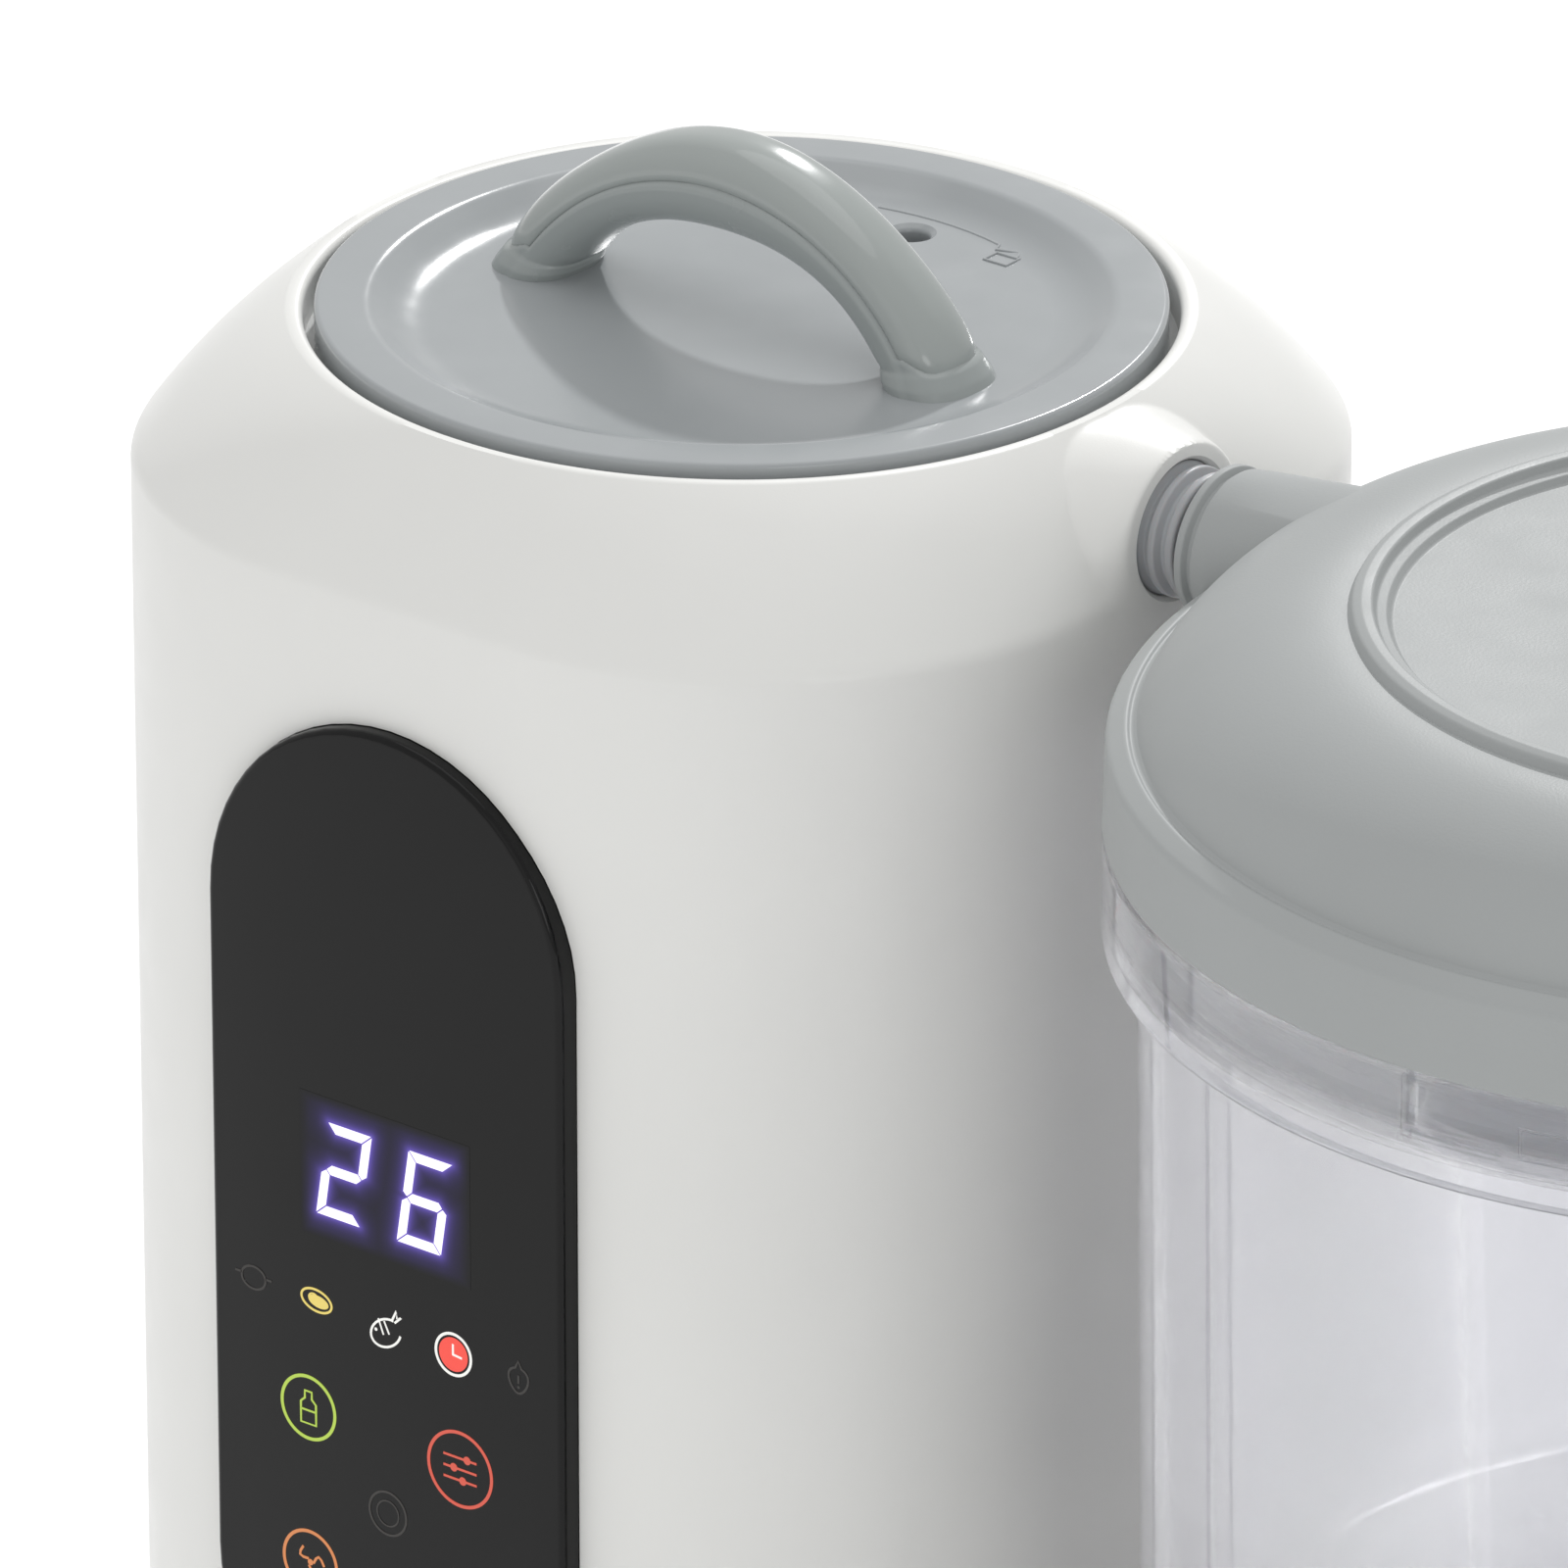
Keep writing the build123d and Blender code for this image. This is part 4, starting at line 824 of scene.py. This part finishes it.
def arch_place(d):
    """Centre and outward direction at distance d along the arch; sections lie flat at the feet."""
    angle = FOOT_ANGLE + d / ARCH_R
    near = min(d, ARCH_LENGTH - d)
    level = 0 if d < ARCH_LENGTH / 2 else pi
    facing = level + (angle - level) * ease(near / 9)
    return 1j * (ARCH_RISE - ARCH_R) + ARCH_R * cmath.exp(1j * angle), cmath.exp(1j * facing)


def grip_size(d):
    """Half width and half thickness: slim legs between a full crown and wide feet."""
    up = 2 * min(d, ARCH_LENGTH - d) / ARCH_LENGTH
    foot = max(0.0, 1 - up) ** 4
    return 5.8 + 0.9 * foot, 4.6 + 1.3 * ease((up - 0.35) / 0.65) + 0.5 * foot


def oval(angle, half_w, half_t):
    """Point of an oval that is a little square."""
    c, s = cos(angle), sin(angle)
    bulge = (abs(c) ** OVAL_POWER + abs(s) ** OVAL_POWER) ** (-1 / OVAL_POWER)
    return complex(half_w * c * bulge, half_t * s * bulge)


def inlay_end(across, half_w):
    """Distance along the arch where the glossy half starts, at a place across it: its corners are round."""
    past = max(0.0, abs(across) - (half_w - INLAY_CORNER))
    return INLAY_START + INLAY_CORNER - sqrt(max(0.0, INLAY_CORNER ** 2 - past ** 2))


def grip_section(d):
    """Section (across, outward) of the grip: full below, sunk where the glossy half lies on it."""
    half_w, half_t = grip_size(d)
    section = []
    for k in range(GRIP_FACETS):
        angle = 2 * pi * k / GRIP_FACETS
        p = oval(angle, half_w, half_t)
        if p.imag > SEAM_LEVEL - 0.35:
            q = oval(angle, half_w - 0.25, half_t)
            inside = min(d, ARCH_LENGTH - d) - inlay_end(q.real, half_w - 0.4)
            sink = 0.9 * ease(inside / 0.4 + 0.5) * ease((p.imag - SEAM_LEVEL + 0.35) / 0.6)
            p = q * (1 - sink / abs(q))
        section.append(p)
    return section


def grip():
    """Lower half of the arch, with a flared collar round each foot."""
    ends = [0.25 * k for k in range(40)]
    middle = [10 + (ARCH_LENGTH - 20) * k / 90 for k in range(91)]
    points, rows = [], []
    for d in ends + middle + [ARCH_LENGTH - e for e in reversed(ends)]:
        place, normal = arch_place(d)
        height = max(place.imag, COLLAR_FOOT)
        skirt = 0.25 * ease((COLLAR_TOP + 0.3 - height) / 0.5) + 0.8 * max(0.0, 1 - height / COLLAR_TOP)
        rows.append(next_row(points, GRIP_FACETS))
        for p in grip_section(d):
            p *= 1 + skirt / abs(p)
            spot = place + normal * p.imag
            points.append((spot.real, p.real, max(spot.imag, -0.2)))
    return points, capped(rows)


def inlay():
    """Glossy upper half of the arch, closed by an inner face that lies in the grip."""
    start_angle = 0.09
    columns, stations = 44, 110
    outer, inner = [], []
    for i in range(stations + 1):
        rim_i = min(i, stations - i)
        for j in range(columns + 1):
            rim = min(rim_i, j, columns - j)
            angle = start_angle + (pi - 2 * start_angle) * j / columns
            half_w, half_t = grip_size(INLAY_START + (ARCH_LENGTH - 2 * INLAY_START) * i / stations)
            p = oval(angle, half_w - 0.4, half_t + 0.1)
            first = inlay_end(p.real, half_w - 0.4)
            place, normal = arch_place(first + (ARCH_LENGTH - 2 * first) * i / stations)
            drop = (0.42, 0.12, 0.02)[rim] if rim < 3 else 0.0
            for depth, points in ((drop, outer), (1.3, inner)):
                q = p * (1 - depth / abs(p))
                spot = place + normal * q.imag
                points.append((spot.real, q.real, spot.imag))
    wide = columns + 1
    total = len(outer)
    faces = []
    for i in range(stations):
        for j in range(columns):
            a = i * wide + j
            face = [a, a + 1, a + wide + 1, a + wide]
            faces += [face, [total + n for n in reversed(face)]]
    last = stations * wide
    border = list(range(wide)) + [i * wide + columns for i in range(1, stations + 1)]
    border += [last + j for j in range(columns - 1, -1, -1)] + [i * wide for i in range(stations - 1, 0, -1)]
    for a, b in zip(border, border[1:] + border[:1]):
        faces.append([a, total + a, total + b, b])
    return outer + inner, faces


def handles():
    """The same arch on the tank lid, along X, and on the jar lid, along Y."""
    for name, x, z, turn, body in (("tank", TOWER_X, HANDLE_FLOOR_Z, 0, "tank_cover"),
                                   ("lid", JAR_X, LID_HANDLE_Z, 90, "jar_cover")):
        piece(f"{name}_handle_grip", body, *moved(grip(), x, 0, z, turn), GREY_GRIP, "grey_handle",
              [f"{name}_handle"], sharp=60)
        piece(f"{name}_handle_inlay", body, *moved(inlay(), x, 0, z, turn), GREY_INLAY, "grey_handle",
              [f"{name}_handle_insert"], sharp=60)


# ---- jar and its lid
def jar_lid():
    """Domed lid with a beaded band, a raised ring round the middle disc and the steam spout."""
    disc, ring, band, rim = RIM_Z + 1.1, RIM_Z + 3.5, LID_BAND_Z, LID_R
    dome = bowed((79.0, band + 12.8), (71.0, RIM_Z - 2.5), (54.6, RIM_Z + 1.9), 40)
    under = bowed((49.5, disc - 2.4), (66.0, RIM_Z - 5.6), (76.8, band + 9.6), 24)
    bead = [(rim, band, 0.7), (rim - 0.3, band + 11.2, 1.5), (rim - 2.7, band + 12.7, 0.9),
            (rim - 3.4, band + 12.2, 0.5), (79.0, band + 12.8, 0.5)]
    raised_ring = [(54.0, RIM_Z + 3.1, 0.8), (53.0, ring, 0.7), (51.7, ring - 0.1, 0.5),
                   (51.2, RIM_Z + 2.3, 0.4), (50.0, RIM_Z + 2.0, 0.35), (49.4, disc, 0.5), (0, disc)]
    outline = soften(bead + dome + raised_ring + [(0, disc - 2.4), (49.5, disc - 2.4)] + under
                     + [(76.8, lid_low.z), (78.4, lid_low.z), (78.4, band)])
    lid = shape(*lathe(outline, JAR_X, segments=320))
    tip = lid_low.x
    spout = soften([(0, tip), (9.6, tip, 0.35), (9.6, tip + 1.1, 0.3), (8.75, tip + 1.5, 0.2),
                    (8.75, tip + 2.1, 0.2), (9.55, tip + 2.5, 0.3), (9.9, tip + 5, 2), (12.6, tip + 30),
                    (0, tip + 30)])
    combine(lid, lathe(spout, segments=160, along_x=True, z=PORT_Z), "UNION")
    bore = soften([(0, tip - 1), (7.4, tip - 1), (7.4, tip - 0.01), (5.8, tip + 1.6, 0.5), (5.8, tip + 31),
                   (0, tip + 31)])
    combine(lid, lathe(bore, segments=96, along_x=True, z=PORT_Z))
    lid.name = "jar_lid_dome"
    dressed(lid, "jar_cover", GREY_SATIN, "grey_lid", ["jar_lid"], sharp=40)


def port_gasket():
    """Soft bellows ring in the port."""
    start, end, bore = port_low.x, port_high.x, PORT_BORE - 0.05
    outline = soften([(4.8, start), (bore, start), (bore, start + 5.4, 0.5), (7.5, start + 5.9, 0.3),
                      (7.5, start + 6.4, 0.3), (8.2, start + 6.8, 0.4), (8.2, start + 7.7, 0.4),
                      (7.1, start + 8.2, 0.3), (7.1, start + 8.8, 0.3), (7.9, start + 9.2, 0.35),
                      (7.9, end, 0.45), (5.4, end, 0.4), (4.8, start + 8.6, 0.5)])
    piece("port_bellows", "root", *lathe(outline, segments=128, along_x=True, z=PORT_Z), SILICONE,
          "silicone_grey", ["port_gasket"], sharp=50)


def curved_block(first, last, low, high, inner, outer):
    """Block that follows the jar's round wall, between two angles in degrees."""
    steps = max(2, ceil(abs(last - first) / 1.5))
    points, rows = [], []
    for k in range(steps + 1):
        a = radians(first + (last - first) * k / steps)
        rows.append(next_row(points, 4))
        for r, z in ((inner, low), (outer, low), (outer, high), (inner, high)):
            points.append((JAR_X + r * cos(a), r * sin(a), z))
    return points, capped(rows)


JAR_RIM_Z = RIM_Z - 38.8
JAR_R = 78.8
JAR_FOOT_R = 77.2
JAR_WALL = 2.4
RIB_ANGLE = -88.9           # middle of a bayonet rib; a second one stands opposite
FRAME_ANGLES = (-78, -66)   # sides of the outline moulded on the rim band
TICK_ANGLE = -66
TICKS_Z = [104.0 + 15.0 * level for level in range(6)]
LUG_HEIGHTS = (190.0, 104.0)    # middles of the two lugs that hold the jar's handle


def jar_body():
    """Clear jar: rounded foot, thin wall, wide rim with bayonet ribs inside, and moulded level ticks."""
    floor, top, rim, foot = jar_low.z, jar_high.z, JAR_RIM_Z, JAR_FOOT_R
    rim_in, wall_in, foot_in = LID_R - JAR_WALL, JAR_R - JAR_WALL, JAR_FOOT_R - JAR_WALL
    outline = soften([(7.2, floor), (foot - 11, floor)]
                     + bowed((foot - 11, floor), (foot - 3.2, floor + 3.2), (foot, floor + 11), 14)
                     + [(JAR_R, rim - 0.2, 1.6), (LID_R, rim, 1.4), (LID_R, top, 0.6), (rim_in, top, 0.5),
                        (rim_in, rim + 2.6, 1.0), (wall_in, rim + 2.6, 1.0), (foot_in, floor + 11)]
                     + bowed((foot_in, floor + 11), (foot_in - 2.5, floor + 5.4),
                             (foot_in - 8.5, floor + 2.8), 14)
                     + [(7.2, floor + 2.8)])
    jar = shape(*lathe(outline, JAR_X, segments=288))
    for part in jar_ribs(top):
        combine(jar, part, "UNION")
    for z in LUG_HEIGHTS:
        combine(jar, block((JAR_X + foot - 0.2, JAR_X + LID_R + 5), (-4, 4), (z - 3, z + 3)), "UNION")
    jar.name = "jar_glass"
    dressed(jar, "jar", CLEAR, "clear_jar", ["jar_body"], sharp=30)


def jar_ribs(top):
    """Bayonet ribs inside the rim, twice round, an outline moulded outside it and level ticks on the wall."""
    ribs = []
    inner, root = LID_R - JAR_WALL - 0.65, LID_R - JAR_WALL + 0.4
    for start in (RIB_ANGLE, RIB_ANGLE + 180):
        ribs.append(curved_block(start - 0.45, start + 0.45, top - 8.6, top - 0.4, inner, root))
        ribs.append(curved_block(start + 0.45, start + 8.5, top - 8.6, top - 7.7, inner, root))
    first, last = FRAME_ANGLES
    low, high = top - 7.1, top - 3.05
    for sides in ((first, last, low, low + 0.35), (first, last, high - 0.35, high),
                  (first, first + 0.25, low, high), (last - 0.25, last, low, high)):
        ribs.append(curved_block(*sides, LID_R - 0.3, LID_R + 0.2))
    for level, z in enumerate(TICKS_Z):
        reach = 2.3 if level % 2 else 3.5
        ribs.append(curved_block(TICK_ANGLE - reach, TICK_ANGLE + reach, z - 0.3, z + 0.3,
                                 JAR_R - 2.0, JAR_R - 0.008 * (190 - z)))
    return ribs


# ---- interlock spring
SPRING_Y = 53.0             # how far behind the jar's axis the plunger stands
SPRING_R = 3.9
SPRING_TURNS = 3.5
SPRING_WIRE = 0.35


def interlock_coil():
    """Coil spring round the interlock plunger under the jar."""
    low, high = box("interlock_spring")
    centre = complex(JAR_X, SPRING_Y)
    steps = int(SPRING_TURNS * 40)
    foot, head = low.z + SPRING_WIRE, high.z - SPRING_WIRE
    points, rows = [], []
    for k in range(steps + 1):
        turn = cmath.exp(2j * pi * SPRING_TURNS * k / steps)
        rows.append(next_row(points, 10))
        for n in range(10):
            wire = SPRING_WIRE * cmath.exp(2j * pi * n / 10)
            spot = centre + turn * (SPRING_R + wire.real)
            points.append((spot.real, spot.imag, foot + (head - foot) * k / steps + wire.imag))
    coil = piece("interlock_coil", "root", points, capped(rows), STAINLESS, "spring_steel",
                 ["interlock_spring"], sharp=60)
    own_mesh(coil)


# ---- CAD nodes that keep their shape
KEPT = (                    # surface, angle over which an edge stays crisp, nodes
    (WHITE, 30, "bottom_cover"),
    (WHITE, 32, "base_housing jar_collar"),
    (WHITE, 35, "jar_handle"),
    (RUBBER, 35, "motor_mounts blade_seal"),
    (RUBBER, 40, "rubber_feet cord_gland seat_ring drip_seal"),
    (ZINC, 30, "cover_screws tower_screws board_screws handle_screws"),
    (ZINC, 35, "motor_bracket"),
    (PART_BLACK, 30, "display_module power_parts interlock_switch"),
    (PART_BLACK, 35, "thermostat cooling_fan drive_coupling driven_coupling"),
    (BOARD_GREEN, 30, "control_board power_board"),
    (STAINLESS, 25, "heating_plate"),
    (STAINLESS, 35, "motor_can motor_end_plate motor_shaft blade_shaft"),
    (STAINLESS, 40, "touch_springs"),
    (STAINLESS, 50, "heating_element"),
    (TANK_WHITE, 35, "water_tank interlock_plunger"),
    (TANK_WHITE, 40, "thermal_fuse steam_duct"),
    (SILICONE_CLEAR, 40, "boiler_seal jar_gasket"),
    (SILICONE_CLEAR, 50, "tank_lid_seal"),
    (SILICONE, 50, "jar_lid_seal"),
    (CASTING, 35, "heat_spreader"),
    (BRONZE, 35, "motor_bearings blade_bush"),
    (CORE, 35, "stator_core motor_rotor"),
    (COPPER, 35, "field_coils"),
    (BLADE_STEEL, 25, "blades"),
    (BLADE_STEEL, 30, "blade_nut"),
    (FROSTED, 35, "steam_basket"),
)


def kept_nodes():
    for surface, sharp, names in KEPT:
        for name in names.split():
            coated(nodes[name], surface, sharp)


# ---- stage
def stage():
    """Pale flat floor."""
    floor = mesh_object("floor", [(-4000, -4000, 0), (4000, -4000, 0), (-4000, 4000, 0), (4000, 4000, 0)],
                        [[0, 1, 3, 2]])
    floor.data.materials.append(glow("floor_white", (1, 1, 1, 1), FLOOR_GLOW))


def face(made, direction):
    """Turns a lamp or a camera."""
    made.rotation_mode = "QUATERNION"
    made.rotation_quaternion = direction.to_track_quat("-Z", "Y")


def lamp(name, place, target, size, power):
    """Round area light that faces a target."""
    light = bpy.data.lights.new(name, "AREA")
    light.shape = "DISK"
    light.size = size
    light.energy = power
    made = linked(name, light)
    made.location = place
    face(made, target - made.location)


CAMERA_AZ = radians(38.46)
CAMERA_EL = radians(24.34)
CAMERA_PLACE = (5.13, -58.6, 2077)  # millimetres to the right of, above and away from the tower's rim
CAMERA_LENS = 391.7
FLOOR_GLOW = 0.45
WORLD_GLOW = 0.62
KEY_DIRECTION = (-32, 7.6, 24)      # as below
KEY_DISTANCE = 2.2
LAMPS = (                           # metres towards the viewer, to the right and up, then size and power
    ("top", -0.2, 0, 1.6, 1.6, 5),
    ("fill_left", 2.2, -0.9, 0.7, 1.6, 1.2),
    ("fill_right", 2.1, 0.6, 0.6, 0.9, 3),
)


def camera_axes():
    """Directions back to the camera, to its right and up its picture."""
    back = Vector((sin(CAMERA_AZ) * cos(CAMERA_EL), -cos(CAMERA_AZ) * cos(CAMERA_EL), sin(CAMERA_EL)))
    right = Vector((cos(CAMERA_AZ), sin(CAMERA_AZ), 0))
    return back, right, back.cross(right)


def lights():
    """Small key from behind and a little to the right, a wide softbox overhead and two fills in front."""
    target = Vector((TOWER_X + 40, 0, RIM_Z - 40)) * MM
    back, right, _ = camera_axes()
    level = Vector((back.x, back.y, 0)).normalized()

    def offset(near, aside, high):
        return level * near + right * aside + Vector((0, 0, high))

    lamp("key", target + offset(*KEY_DIRECTION).normalized() * KEY_DISTANCE, target, 0.1, 23)
    for name, near, aside, high, size, power in LAMPS:
        lamp(name, target + offset(near, aside, high), target, size, power)
    world = bpy.data.worlds.new("studio")
    world.use_nodes = True
    world.node_tree.nodes["Background"].inputs["Color"].default_value = (1, 1, 1, 1)
    world.node_tree.nodes["Background"].inputs["Strength"].default_value = WORLD_GLOW
    bpy.context.scene.world = world
    bpy.context.scene.view_settings.view_transform = "Standard"


def camera():
    """Long lens from the front right and above, framed on the tower's head and the left of the jar."""
    back, right, up = camera_axes()
    view = bpy.data.cameras.new("camera")
    view.lens = CAMERA_LENS
    view.sensor_width = 36
    view.clip_end = 100
    made = linked("camera", view)
    aside, above, away = CAMERA_PLACE
    made.location = (Vector((TOWER_X, 0, RIM_Z)) + right * aside + up * above + back * away) * MM
    face(made, -back)
    bpy.context.scene.camera = made


kept_nodes()
tower_shell()
control_panel()
display()
symbols()
touch_keys()
tank_lid()
handles()
port_gasket()
jar_lid()
jar_body()
interlock_coil()
stage()
lights()
camera()
